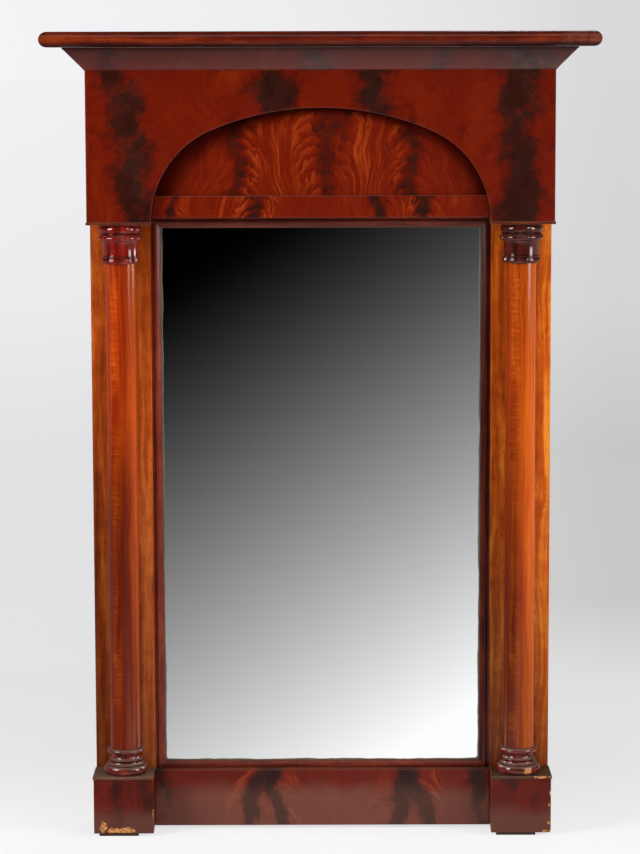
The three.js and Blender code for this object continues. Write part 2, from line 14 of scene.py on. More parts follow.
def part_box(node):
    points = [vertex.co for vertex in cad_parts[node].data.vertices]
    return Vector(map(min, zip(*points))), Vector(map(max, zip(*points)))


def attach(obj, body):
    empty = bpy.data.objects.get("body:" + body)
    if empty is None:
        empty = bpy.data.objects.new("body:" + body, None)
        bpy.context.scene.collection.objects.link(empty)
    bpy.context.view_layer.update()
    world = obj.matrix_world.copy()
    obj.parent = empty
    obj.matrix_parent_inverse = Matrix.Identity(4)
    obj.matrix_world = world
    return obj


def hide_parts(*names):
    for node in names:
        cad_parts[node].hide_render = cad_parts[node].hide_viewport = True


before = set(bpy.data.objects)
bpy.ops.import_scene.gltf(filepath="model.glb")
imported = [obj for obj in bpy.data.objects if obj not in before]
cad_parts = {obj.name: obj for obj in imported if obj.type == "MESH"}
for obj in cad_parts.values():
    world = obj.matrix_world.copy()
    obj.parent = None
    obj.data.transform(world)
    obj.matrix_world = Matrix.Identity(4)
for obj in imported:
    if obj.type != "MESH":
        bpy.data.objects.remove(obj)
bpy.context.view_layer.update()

bl_info = {
    "name": "Overmantel mirror",
    "version": (1, 0, 0),
    "blender": (4, 5, 0),
    "location": "3D View > Sidebar > Mirror",
    "description": "Builds the finished pieces of a column mirror around its packed frame",
    "category": "Object",
}

MM = 0.001
SIDES = {"left": -1, "right": 1}


def linear(code):
    """An sRGB hex colour as three linear numbers."""
    shares = [int(code[i:i + 2], 16) / 255 for i in (1, 3, 5)]
    return tuple(s / 12.92 if s <= 0.04045 else ((s + 0.055) / 1.055) ** 2.4 for s in shares)


# ------------------------------------------------------------------ what a user would change


class MirrorSizes(bpy.types.PropertyGroup):
    """Sizes of the finish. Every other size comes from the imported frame."""

    arris: FloatProperty(
        name="Arris", description="Radius of the rubbed edges of the polished boards",
        default=0.8 * MM, unit="LENGTH")
    sawn_arris: FloatProperty(
        name="Sawn arris", description="Radius of the edges of the bare pine boards",
        default=0.5 * MM, unit="LENGTH")
    figure_step: FloatProperty(
        name="Figure step", description="Spacing of the points that carry the veneer's figure",
        default=3 * MM, unit="LENGTH")
    turned_sides: IntProperty(
        name="Turned sides", description="Sides of a turned piece", default=96)


class MirrorColours(bpy.types.PropertyGroup):
    """Colours of the crotch veneer and of the dust."""

    heart: FloatVectorProperty(
        name="Plume", description="Darkest part of the crotch figure",
        subtype="COLOR", default=linear("#1f0d08"))
    red: FloatVectorProperty(
        name="Ground", description="Plain red-brown ground of the crotch veneer",
        subtype="COLOR", default=linear("#641303"))
    flame: FloatVectorProperty(
        name="Flame", description="Orange fans of the crotch figure",
        subtype="COLOR", default=linear("#a03c12"))
    dust: FloatVectorProperty(
        name="Dust", description="Grey-brown dust on ledges",
        subtype="COLOR", default=linear("#5d4c3d"))


class StageSettings(bpy.types.PropertyGroup):
    """Strengths of the studio's lamps."""

    key_power: FloatProperty(
        name="Side boxes", description="Power of each softbox beside the camera",
        default=34.0, unit="POWER")
    top_power: FloatProperty(
        name="Top box", description="Power of the large box above", default=8.0, unit="POWER")
    ambient: FloatProperty(
        name="Ambient", description="Even light from the room", default=0.07)


# ------------------------------------------------------------------ making meshes


def extent(node):
    """A CAD node's lowest and highest corners, as arrays."""
    low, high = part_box(node)
    return np.array(low), np.array(high)


def dress(material, *nodes):
    """Gives CAD nodes whose shape stays a finer material."""
    for node in nodes:
        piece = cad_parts[node]
        if not piece.material_slots:
            piece.data.materials.append(material)
        for slot in piece.material_slots:
            slot.material = material


def make_piece(name, points, faces, material, slot, body, replaced, attributes=None, smooth_under=35):
    """Puts worked-out points and faces into a mesh, gives the piece its finish and body, and hides the CAD
    nodes it replaces.
    """
    mesh = bpy.data.meshes.new(name)
    mesh.from_pydata(points, [], faces)
    mesh.polygons.foreach_set("use_smooth", np.ones(len(mesh.polygons), bool))
    mesh.set_sharp_from_angle(angle=math.radians(smooth_under))
    for key, values in (attributes or {}).items():
        values = np.asarray(values, np.float32)
        kind, field = ("FLOAT", "value") if values.ndim == 1 else ("FLOAT_VECTOR", "vector")
        mesh.attributes.new(key, kind, "POINT").data.foreach_set(field, values.ravel())
    mesh.materials.append(material)
    piece = bpy.data.objects.new(name, mesh)
    bpy.context.scene.collection.objects.link(piece)
    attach(piece, body)
    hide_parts(*replaced)
    return piece


def grid_faces(rows, columns, close_rows=False, close_columns=False):
    """The quads of a grid of points, row after row, wrapped round where a direction is closed."""
    r = np.arange(rows if close_rows else rows - 1)[:, None]
    c = np.arange(columns if close_columns else columns - 1)[None, :]
    r2 = (r + 1) % rows
    c2 = (c + 1) % columns
    quads = np.stack([r * columns + c, r * columns + c2, r2 * columns + c2, r2 * columns + c], -1)
    return quads.reshape(-1, 4)


def facing_out(points, faces):
    """Turns every face round if the closed body they make has a negative volume."""
    quads = [f for f in faces if len(f) >= 3]
    volume = 0.0
    for size in {len(f) for f in quads}:
        corners = points[np.array([f for f in quads if len(f) == size])]
        for k in range(1, size - 1):
            volume += np.einsum("ij,ij->i", corners[:, 0], np.cross(corners[:, k], corners[:, k + 1])).sum()
    return [tuple(f) for f in faces] if volume > 0 else [tuple(reversed(f)) for f in faces]


def cuts(length, radius, step):
    """Places along an edge: a few within the arris at each end, and even ones between them."""
    rim = radius * (1 - np.cos(np.linspace(0, math.pi / 2, 4)))
    inner = max(1, int(round((length - 2 * radius) / step))) if step else 1
    middle = np.linspace(radius, length - radius, inner + 1)[1:-1]
    return np.concatenate([rim, middle, length - rim[::-1]])


def block_surface(low, high, radius, step=None):
    """A box with rounded arrises. Each point of the sharp box is drawn back to a box that is smaller by
    the radius, and set out again from there by the radius. Gives points, quads and how much each point
    belongs to an arris, from 0 on a face to 1 on the crown of an edge."""
    size = high - low
    places = [cuts(size[i], radius, step) + low[i] for i in range(3)]
    points, quads, start = [], [], 0
    for axis in range(3):
        u, v = [i for i in range(3) if i != axis]
        for end in (low[axis], high[axis]):
            a, b = np.meshgrid(places[u], places[v], indexing="ij")
            face = np.empty(a.shape + (3,))
            face[..., u], face[..., v], face[..., axis] = a, b, end
            found = grid_faces(*a.shape) + start
            flip = (end == high[axis]) != ((u, v, axis) in ((0, 1, 2), (1, 2, 0)))
            quads.append(found[:, ::-1] if flip else found)
            points.append(face.reshape(-1, 3))
            start += a.size
    points, quads = np.concatenate(points), np.concatenate(quads)
    _, first, where = np.unique(np.round(points, 7), axis=0, return_index=True, return_inverse=True)
    points, quads = points[first], where.reshape(-1)[quads]
    core = np.clip(points, low + radius, high - radius)
    away = points - core
    share = np.sort(np.abs(away), 1)[:, 1] / radius
    distance = np.linalg.norm(away, axis=1, keepdims=True)
    points = core + away / np.maximum(distance, 1e-12) * radius
    return points, facing_out(points, quads), np.clip(share * 2.4, 0, 1)


def sweep_surface(section, start_at, end_at, steps=1):
    """A closed section carried in a straight line between two placings, with a cap on each end. A point
    of a station lies between its start and its end."""
    start = np.array([start_at(u, v) for u, v in section])
    end = np.array([end_at(u, v) for u, v in section])
    share = np.linspace(0, 1, steps + 1)[:, None, None]
    points = (start + (end - start) * share).reshape(-1, 3)
    count = len(section)
    faces = [tuple(f) for f in grid_faces(steps + 1, count, close_columns=True)]
    faces.append(tuple(range(count))[::-1])
    faces.append(tuple(range(steps * count, (steps + 1) * count)))
    return points, facing_out(points, faces)


def turned_surface(profile, centre, sides):
    """A profile of radii and heights spun round a vertical axis. The profile closes on itself in the
    bore, or starts and ends on the axis."""
    profile = np.array(profile)
    turn = np.linspace(0, 2 * math.pi, sides, endpoint=False)
    ring = np.stack([np.cos(turn), np.sin(turn)], -1)
    solid = profile[0][0] < 1e-9
    body = profile[1:-1] if solid else profile
    points = np.empty((len(body), sides, 3))
    points[..., :2] = body[:, None, :1] * ring + centre[:2]
    points[..., 2] = body[:, None, 1]
    faces = [tuple(f) for f in grid_faces(len(body), sides, close_rows=not solid, close_columns=True)]
    points = points.reshape(-1, 3)
    if solid:
        ends = np.array([[*centre[:2], profile[0][1]], [*centre[:2], profile[-1][1]]])
        points = np.concatenate([points, ends])
        low, high, last = len(points) - 2, len(points) - 1, (len(body) - 1) * sides
        for k in range(sides):
            faces.append((low, (k + 1) % sides, k))
            faces.append((last + k, last + (k + 1) % sides, high))
    return points, facing_out(points, faces)


def turned_wear_and_glint(profile, sides):
    """How rubbed and how dark a turned surface's points are: rubbed pale where the profile turns sharply
    outwards, which also paints a highlight along each ring's crest, and darker and duller where it turns
    sharply inwards, both from 0.3 to 0.8 radians. The darkening reaches 1.6 mm out of its corner."""
    body = np.array(profile)[1:-1] if profile[0][0] < 1e-9 else np.array(profile)
    before = body - np.roll(body, 1, axis=0)
    after = np.roll(body, -1, axis=0) - body
    turn = np.arctan2(before[:, 0] * after[:, 1] - before[:, 1] * after[:, 0],
                      (before * after).sum(1))
    apart = np.linalg.norm(body[:, None] - body[None], axis=2)
    darkening = np.clip((-turn - 0.3) / 0.5, 0, 1)[None] * np.exp(-(apart / (1.6 * MM)) ** 2)
    return {"arris": np.repeat(np.clip((turn - 0.3) / 0.5, 0, 1), sides),
            "grime": np.repeat(darkening.max(1), sides)}


def bow(start, end, rise, count=10):
    """A stretch of outline that leaves the straight line between two points by a rise, which is positive
    to the outside of a turned piece. It follows a sine, so both ends keep their place."""
    share = np.linspace(0, 1, count + 1)[:-1]
    (r0, z0), (r1, z1) = start, end
    length = math.hypot(r1 - r0, z1 - z0)
    out = ((z1 - z0) / length, -(r1 - r0) / length)
    swell = rise * np.sin(share * math.pi) ** 0.8
    return [(r0 + (r1 - r0) * s + out[0] * w, z0 + (z1 - z0) * s + out[1] * w)
            for s, w in zip(share, swell)]


# ------------------------------------------------------------------ the veneer's figure


def crotch_grain(across, up, foot, head, plumes, fans, divergence=0.1):
    """Where each point lies in a crotch veneer's figure, for its material to read.

    Plumes and fans are given by their place at the foot and at the head, half width, and strength at the
    foot and at the head, and a plume may add the strength of its petals to the left and right. Grain
    rises from the middle of a fan and arches over the plumes on both sides of it. So a grain line keeps
    the cosine of a phase that grows by half a turn from plume to plume, times the exponential of the
    height over the divergence. The figure is how dark the plumes, how bright the fans, and how near a
    plume's flank each point is. Barbs, 17 mm apart, leave a plume and droop with the square of the way
    out. Two sines make the lines wander."""
    height = np.clip((up - foot) / (head - foot), 0, 1)
    wander = 0.005 * np.sin(40 * up + 17 * across + 1.3) + 0.003 * np.sin(95 * up - 31 * across)
    moved = across + wander
    plumes = sorted(plumes)
    axes = [low + (high - low) * height for low, high, *_ in plumes]
    stations = [axes[0] - 0.14, *axes, axes[-1] + 0.14]
    phase = np.zeros(len(across))
    for k, (start, end) in enumerate(zip(stations, stations[1:])):
        phase += np.clip((moved - start) / (end - start), 0, 1)
    line = np.exp(-(up - foot) / divergence) * np.cos(math.pi * (phase - 1))
    dark, bright, flank, barb = (np.zeros(len(across)) for _ in range(4))
    nearest = np.full(len(across), np.inf)
    for sums, places in ((dark, plumes), (bright, fans)):
        for low, high, width, at_foot, at_head, *petals in places:
            away = (moved - low - (high - low) * height) / (width * (0.8 + 0.4 * height))
            sums += (at_foot + (at_head - at_foot) * height) * np.exp(-away ** 2)
            if sums is dark:
                strength = np.where(away < 0, *(petals or (0.5, 0.5))) * (1.25 - 0.6 * height)
                flank += np.exp(-((np.abs(away) - 1.1) / 0.75) ** 2) * strength
                found = np.abs(away) < nearest
                nearest = np.where(found, np.abs(away), nearest)
                barb = np.where(found, (up + 0.007 * away ** 2 - 0.003 * np.abs(away)) / 0.017, barb)
    return {"grain": np.stack([line, across, up], -1), "figure": np.stack([dark, bright, flank], -1),
            "barb": barb}


def chipped(points, places):
    """How deep each point lies in a chip: one at the middle of each ellipsoid, given by its centre and
    half sizes in millimetres, and none outside it."""
    depth = np.zeros(len(points))
    for centre, size in places:
        away = np.linalg.norm((points - np.array(centre) * MM) / (np.array(size) * MM), axis=1)
        depth = np.maximum(depth, np.clip(1.6 * (1 - away), 0, 1))
    return depth


# ------------------------------------------------------------------ materials


def add(tree, kind, inputs=None, out=None, stops=(), **settings):
    """Adds one shader node, makes its settings and a ramp's stops, fills or links its inputs, and gives
    one of its outputs, which is the first one in use where none is named. A name finds the first input
    in use that bears it, and a number the input at that place: a Map Range has its bounds in 1 to 4. A
    hex code becomes a colour. Stops are places with hex or linear colours."""
    node = tree.nodes.new("ShaderNode" + kind)
    for key, value in settings.items():
        setattr(node, key, value)
    for key, value in (inputs or {}).items():
        socket = next((s for s in node.inputs if s.enabled and s.name == key), None)
        socket = socket or node.inputs[key]
        if isinstance(value, bpy.types.NodeSocket):
            tree.links.new(value, socket)
        else:
            socket.default_value = (*linear(value), 1) if isinstance(value, str) else value
    for _ in range(len(stops) - 2):
        node.color_ramp.elements.new(0.5)
    for k, (place, colour) in enumerate(stops):
        node.color_ramp.elements[k].position = place
        node.color_ramp.elements[k].color = (*(linear(colour) if isinstance(colour, str) else colour), 1)
    if out is not None:
        return node.outputs[out]
    return next((s for s in node.outputs if s.enabled), None)


def new_material(name):
    """An empty material, and its node tree."""
    material = bpy.data.materials.new(name)
    material.use_nodes = True
    material.node_tree.nodes.clear()
    return material, material.node_tree


def stretched_noise(tree, vector, turns, detail=2.0, roughness=0.5):
    """Noise drawn out along a grain. Turns are its changes in a metre along each axis."""
    drawn_out = add(tree, "VectorMath", {0: vector, 1: turns}, operation="MULTIPLY")
    return add(tree, "TexNoise", {"Vector": drawn_out, "Scale": 1.0, "Detail": detail,
                                  "Roughness": roughness})


def with_joints(tree, place, colour, joints, half_width, strength):
    """A colour with the dark hairlines where sheets of veneer meet, at places along X."""
    x = add(tree, "SeparateXYZ", {0: place}, out=0)
    for joint in joints:
        line = add(tree, "Math", {0: x, 1: joint, 2: half_width}, operation="COMPARE")
        line = add(tree, "Math", {0: line, 1: strength}, operation="MULTIPLY")
        colour = add(tree, "Mix", {"Factor": line, "A": colour, "B": "#2a120c"}, data_type="RGBA")
    return colour


def rubbed_and_dusty(tree, colour, roughness, shine, dustiness=1.0, rub="#7f4b35"):
    """Common to all the old polish: edges rubbed pale and dull, and on turned rings also a painted
    highlight, chips of raw wood, dirt and painted shade in corners, recesses and undersides that darken and
    dull them, dust on what faces up, and shallow waves in the film. A dustiness over 1 lets dust lie on
    steeper faces too."""
    colours = bpy.context.scene.mirror_colours
    place = add(tree, "TexCoord", out="Object")
    arris = add(tree, "Attribute", out="Fac", attribute_name="arris")
    patches = add(tree, "TexNoise", {"Vector": place, "Scale": 110.0, "Detail": 6.0, "Roughness": 0.7})
    rubbed = add(tree, "Math", {0: arris, 1: patches}, operation="MULTIPLY")
    rubbed = add(tree, "MapRange", {"Value": rubbed, 1: 0.28, 2: 0.66, 4: 0.8})
    worn = add(tree, "Mix", {"Factor": rubbed, "A": colour, "B": rub}, data_type="RGBA")
    chip = add(tree, "Attribute", out="Fac", attribute_name="chip")
    crumbs = add(tree, "TexNoise", {"Vector": place, "Scale": 300.0, "Detail": 4.0, "Roughness": 0.6})
    chip = add(tree, "Math", {0: crumbs, 1: 1.7, 2: chip}, operation="MULTIPLY_ADD")
    raw = add(tree, "MapRange", {"Value": chip, 1: 1.25, 2: 1.35})
    fibre = add(tree, "ValToRGB", {0: crumbs}, stops=[(0.34, "#8a4a22"), (0.5, "#bd7a41"),
                                                      (0.66, "#d8a468")])
    worn = add(tree, "Mix", {"Factor": raw, "A": worn, "B": fibre}, data_type="RGBA")
    # Dirt, and painted shade in corners, recesses and under ledges: darker colour and less shine.
    grime = add(tree, "Attribute", out="Fac", attribute_name="grime")
    grime = add(tree, "MapRange", {"Value": grime, 3: 1.0, 4: 0.25})
    worn = add(tree, "VectorMath", {0: worn, "Scale": grime}, operation="SCALE")
    shine = add(tree, "Math", {0: grime, 1: shine}, operation="MULTIPLY")
    facing = add(tree, "NewGeometry", out="Normal")
    up = add(tree, "SeparateXYZ", {0: facing}, out=2)
    thick = max(dustiness, 1.0)
    settled = add(tree, "MapRange", {"Value": up, 1: 0.45 / thick, 2: 0.95 / thick, 4: dustiness / thick})
    clumps = add(tree, "TexNoise", {"Vector": place, "Scale": 180.0, "Detail": 3.0})
    clumps = add(tree, "MapRange", {"Value": clumps, 1: 0.3, 2: 0.65, 3: 0.5, 4: 0.9})
    dust = add(tree, "Math", {0: settled, 1: clumps}, operation="MULTIPLY", use_clamp=True)
    dusty = add(tree, "Mix", {"Factor": dust, "A": worn, "B": (*colours.dust, 1)}, data_type="RGBA")
    dull = add(tree, "Math", {0: dust, 1: rubbed}, operation="MAXIMUM")
    dull = add(tree, "Math", {0: dull, 1: raw}, operation="MAXIMUM")
    rough = add(tree, "Mix", {"Factor": dull, "A": roughness, "B": 0.75})
    waves = add(tree, "TexNoise", {"Vector": place, "Scale": 70.0})
    normal = add(tree, "Bump", {"Strength": 0.08, "Distance": 0.4 * MM, "Height": waves})
    shader = add(tree, "BsdfPrincipled", {"Base Color": dusty, "Roughness": rough, "Normal": normal,
                                          "Specular IOR Level": shine})
    add(tree, "OutputMaterial", {"Surface": shader})


def crotch_mahogany(name, rough=0.2, darkness=1.0, depth=1.0, bloom=0.0, joints=(), dustiness=1.0,
                    soft=0.0, shine=0.5, floor_reflection_below=None, feather=0.2):
    """Crotch mahogany veneer, knife cut and French polished: dark plumes, orange fans and drooping petals
    in a clear red ground, under a film that mirrors the room a little. Soft plumes are cut far from the
    crotch and are cloudy. Grey bloom and a few scratches lie in the film. A height and a colour may be
    given, below which that colour is mixed in as a painted reflection of the pale floor. Depth scales the
    colour, feather the petals' contrast, and joints are hairlines at places along X."""
    colours = bpy.context.scene.mirror_colours
    material, tree = new_material(name)
    place = add(tree, "TexCoord", out="Object")
    grain = add(tree, "Attribute", out="Vector", attribute_name="grain")
    figure = add(tree, "Attribute", out="Vector", attribute_name="figure")
    dark, bright, flank = (add(tree, "SeparateXYZ", {0: figure}, out=k) for k in range(3))
    # Clouds some 40 mm across, which also push the grain aside.
    clouds = add(tree, "TexNoise", {"Vector": place, "Scale": 24.0 - 3 * soft, "Detail": 5.0,
                                    "Roughness": 0.58 - 0.06 * soft, "Distortion": 0.5})
    sway = add(tree, "Math", {0: clouds, 1: 0.22}, operation="MULTIPLY")
    moved = add(tree, "CombineXYZ", {0: sway})
    moved = add(tree, "VectorMath", {0: grain, 1: moved}, operation="ADD")
    # Along the grain each pattern runs some 80 mm; across it streaks are 3 mm, hairs 0.8 mm wide.
    streaks = stretched_noise(tree, moved, (9.0, 12.0, 12.0), 5.0, 0.62)
    hairs = stretched_noise(tree, moved, (55.0, 16.0, 16.0))
    barbs = stretched_noise(tree, moved, (5.0, 34.0, 34.0), 5.0, 0.58)
    barb = add(tree, "Attribute", out="Fac", attribute_name="barb")
    barb = add(tree, "Math", {0: barbs, 1: 3.2, 2: barb}, operation="MULTIPLY_ADD")
    barb = add(tree, "Math", {0: barb}, operation="FRACT")
    fine, coarse = 1.7 - 1.2 * soft, 1.7 + 0.5 * soft
    broken = add(tree, "Math", {0: barbs, 1: fine, 2: -(fine + coarse) / 2}, operation="MULTIPLY_ADD")
    broken = add(tree, "Math", {0: clouds, 1: coarse, 2: broken}, operation="MULTIPLY_ADD")
    flecks = add(tree, "TexNoise", {"Vector": place, "Scale": 75.0, "Detail": 5.0, "Roughness": 0.68,
                                    "Distortion": 0.8})
    flecks = add(tree, "Math", {0: flecks, 1: 0.5}, operation="SUBTRACT")
    broken = add(tree, "Math", {0: flecks, 1: 1.3 * soft, 2: broken}, operation="MULTIPLY_ADD")
    plume = add(tree, "Math", {0: dark, 1: broken}, operation="ADD")
    plume = add(tree, "MapRange", {"Value": plume, 1: 0.2 - 0.1 * soft, 2: 0.8 + 0.15 * soft, 3: 0.0,
                                   4: darkness}, interpolation_type="SMOOTHSTEP")
    blaze = add(tree, "MapRange", {"Value": streaks, 1: 0.42, 2: 0.68}, interpolation_type="SMOOTHSTEP")
    blaze = add(tree, "Math", {0: blaze, 1: bright}, operation="MULTIPLY")
    petal = add(tree, "MapRange", {"Value": barb, 1: 0.1, 2: 0.95, 3: -0.25, 4: 1.0},
                interpolation_type="SMOOTHERSTEP")
    petal = add(tree, "Math", {0: petal, 1: flank}, operation="MULTIPLY")
    tone = add(tree, "Math", {0: clouds, 1: 0.3, 2: 0.15}, operation="MULTIPLY_ADD")
    layers = ((streaks, 0.16), (hairs, 0.12), (blaze, 0.4), (petal, feather), (plume, -0.38))
    for layer, amount in layers:
        tone = add(tree, "Math", {0: layer, 1: amount, 2: tone}, operation="MULTIPLY_ADD")
    colour = add(tree, "ValToRGB", {0: tone}, stops=[(0.0, colours.heart), (0.16, "#35110a"),
                                                     (0.4, colours.red), (0.58, "#741e06"),
                                                     (0.95, colours.flame)])
    colour = add(tree, "VectorMath", {0: colour, "Scale": depth}, operation="SCALE")
    haze = add(tree, "TexNoise", {"Vector": place, "Scale": 33.0, "Detail": 4.0})
    haze = add(tree, "MapRange", {"Value": haze, 1: 0.45, 2: 0.7, 4: bloom})
    haze = add(tree, "Math", {0: haze, 1: dark}, operation="MULTIPLY", use_clamp=True)
    colour = add(tree, "Mix", {"Factor": haze, "A": colour, "B": "#5c4238"}, data_type="RGBA")
    # Painted reflection of the pale floor: below a height the colour turns to a pale haze, less over dark
    # plumes.
    if floor_reflection_below:
        height = add(tree, "SeparateXYZ", {0: place}, out=2)
        height = add(tree, "Math", {0: clouds, 1: 0.03, 2: height}, operation="MULTIPLY_ADD")
        level, reflection_colour = floor_reflection_below
        thin = add(tree, "MapRange", {"Value": plume, 3: 0.45, 4: 0.2})
        reflection_share = add(tree, "MapRange", {"Value": height, 1: level + 0.028, 2: level, 4: thin},
                   interpolation_type="SMOOTHSTEP")
        colour = add(tree, "Mix", {"Factor": reflection_share, "A": colour, "B": reflection_colour}, data_type="RGBA")
    # Scratches 0.4 mm wide and 10 mm long, drawn a little wide so that they show.
    for turn in (0.5, -0.9):
        slanted = add(tree, "VectorRotate", {0: place, "Angle": turn}, rotation_type="Y_AXIS")
        scratch = stretched_noise(tree, slanted, (700.0, 1.0, 32.0), 0.0)
        scratch = add(tree, "MapRange", {"Value": scratch, 1: 0.83, 2: 0.89, 4: 0.3})
        colour = add(tree, "Mix", {"Factor": scratch, "A": colour, "B": "#94614a"}, data_type="RGBA")
    colour = with_joints(tree, place, colour, joints, 0.35 * MM, 0.5)
    rubbed_and_dusty(tree, colour, rough, shine, dustiness, "#663c2b")
    return material


def shaft_mahogany(name, centre, radius, woods, edge, shaded, lit_side_scales):
    """Straight-grained mahogany turned and French polished: its grain runs up the shaft, and a band left of
    the front is painted with an orange sheen, with ripples across it, 4 mm apart. One side is painted
    lighter, as lit from the right. Woods are a dark, a middle and a light colour, two lists of scales paint
    shade at heights on the shaded and on the lit side, and edge holds the angles between which one side
    passes into the other."""
    material, tree = new_material(name)
    place = add(tree, "TexCoord", out="Object")
    about = add(tree, "VectorMath", {0: place, 1: (centre[0], centre[1], 0)}, operation="SUBTRACT")
    x, y, z = (add(tree, "SeparateXYZ", {0: about}, out=k) for k in range(3))
    front = add(tree, "Math", {0: y, 1: -1.0}, operation="MULTIPLY")
    turn = add(tree, "Math", {0: x, 1: front}, operation="ARCTAN2")
    arc = add(tree, "Math", {0: turn, 1: radius}, operation="MULTIPLY")
    wrap = add(tree, "CombineXYZ", {0: arc, 2: z})
    wander = add(tree, "TexNoise", {"Vector": place, "Scale": 9.0}, out=1)
    wrap = add(tree, "VectorMath", {0: wander, 1: (0.014, 0.0, 0.02), 2: wrap}, operation="MULTIPLY_ADD")
    grain = stretched_noise(tree, wrap, (160.0, 1.0, 4.5), 5.0, 0.6)
    ripple = stretched_noise(tree, wrap, (45.0, 1.0, 250.0))
    # Painted sheen: an orange band left of the front, broken by ripples of figure.
    band = add(tree, "Math", {0: turn, 1: 0.45}, operation="ADD")
    band = add(tree, "Math", {0: band}, operation="ABSOLUTE")
    band = add(tree, "MapRange", {"Value": band, 1: 0.5, 2: 0.1}, interpolation_type="SMOOTHSTEP")
    patchy = add(tree, "TexNoise", {"Vector": place, "Scale": 11.0})
    patchy = add(tree, "MapRange", {"Value": patchy, 1: 0.42, 2: 0.6, 3: 0.15, 4: 1.0})
    band = add(tree, "Math", {0: band, 1: patchy}, operation="MULTIPLY")
    painted_sheen = add(tree, "MapRange", {"Value": ripple, 1: 0.35, 2: 0.65, 3: 0.05, 4: 0.4})
    painted_sheen = add(tree, "Math", {0: painted_sheen, 1: band}, operation="MULTIPLY")
    tone = add(tree, "Math", {0: grain, 1: painted_sheen}, operation="ADD")
    # Painted light: the side towards the right is lighter and yellower.
    side = add(tree, "MapRange", {"Value": turn, 1: edge[0], 2: edge[1]}, interpolation_type="SMOOTHSTEP")
    tone = add(tree, "Math", {0: side, 1: 0.22, 2: tone}, operation="MULTIPLY_ADD")
    colour = add(tree, "ValToRGB", {0: tone}, stops=list(zip((0.28, 0.5, 0.95), woods)))
    # Painted shade at heights, on the shaded side and on the lit side.
    # Halved in the ramps and doubled after them, because a ramp's colours end at one.
    halves = [[(up, (scale / 2,) * 3) for up, scale in heights] for heights in (shaded, lit_side_scales)]
    scales = [add(tree, "ValToRGB", {0: z}, stops=stops) for stops in halves]
    scale = add(tree, "Mix", {"Factor": side, "A": scales[0], "B": scales[1]}, data_type="RGBA")
    colour = add(tree, "VectorMath", {0: colour, 1: scale}, operation="MULTIPLY")
    colour = add(tree, "VectorMath", {0: colour, "Scale": 2.0}, operation="SCALE")
    pores = stretched_noise(tree, wrap, (1500.0, 1.0, 60.0), 1.0)
    pores = add(tree, "MapRange", {"Value": pores, 1: 0.36, 2: 0.26, 4: 0.6})
    colour = add(tree, "Mix", {"Factor": pores, "A": colour, "B": "#3a0f05"}, data_type="RGBA")
    rubbed_and_dusty(tree, colour, roughness=0.13, shine=0.28, dustiness=0.0)
    return material


def straight_mahogany(name, woods, lengthways="Z", dustiness=1.0, rough=0.2,
                      foot=1.0, head=1.0, height=0.86, rub="#7f4b35", joints=(), shine=0.5):
    """Straight-grained mahogany, planed or turned and French polished: long bands, short dark pores and
    a faint mottle across the grain. Woods are a dark, a middle and a light colour. Foot and head scale
    them evenly up to a height, a painted shade that darkens the lower parts, the "tone" attribute makes
    places lighter and yellower or darker and redder, which on the stiles is painted light and shade, and
    joints are hairlines at places along X."""
    material, tree = new_material(name)
    place = add(tree, "TexCoord", out="Object")
    bands = [4.0 if axis == lengthways else 120.0 for axis in "XYZ"]
    wander = add(tree, "TexNoise", {"Vector": place, "Scale": 7.0}, out=1)
    moved = add(tree, "VectorMath", {0: wander, 1: (0.02, 0.02, 0.02), 2: place},
                operation="MULTIPLY_ADD")
    grain = stretched_noise(tree, moved, bands, 5.0, 0.55)
    # Pores 0.5 mm wide and 10 mm long, a little coarser than real ones so that they show.
    pores = stretched_noise(tree, moved, [12 * turns for turns in bands], 1.0)
    pores = add(tree, "MapRange", {"Value": pores, 1: 0.36, 2: 0.28, 4: 0.8})
    mottle = add(tree, "TexNoise", {"Vector": place, "Scale": 45.0, "Detail": 3.0})
    paler = add(tree, "Attribute", out="Fac", attribute_name="tone")
    tone = add(tree, "Math", {0: mottle, 1: 0.3, 2: -0.15}, operation="MULTIPLY_ADD")
    tone = add(tree, "Math", {0: paler, 1: 0.15, 2: tone}, operation="MULTIPLY_ADD")
    tone = add(tree, "Math", {0: grain, 1: tone}, operation="ADD")
    colour = add(tree, "ValToRGB", {0: tone}, stops=list(zip((0.3, 0.5, 0.7), woods)))
    colour = add(tree, "Mix", {"Factor": pores, "A": colour, "B": "#2a0d06"}, data_type="RGBA")
    # Painted shade: darker towards the foot and lighter towards the head.
    if foot != head:
        z = add(tree, "SeparateXYZ", {0: place}, out=2)
        depth = add(tree, "MapRange", {"Value": z, 1: 0.0, 2: height, 3: foot, 4: head})
        colour = add(tree, "VectorMath", {0: colour, "Scale": depth}, operation="SCALE")
    paler = add(tree, "Math", {0: paler, 1: 1.0}, operation="ADD")
    colour = add(tree, "VectorMath", {0: colour, "Scale": paler}, operation="SCALE")
    colour = with_joints(tree, place, colour, joints, 0.4 * MM, 0.6)
    rubbed_and_dusty(tree, colour, rough, shine, dustiness, rub)
    return material


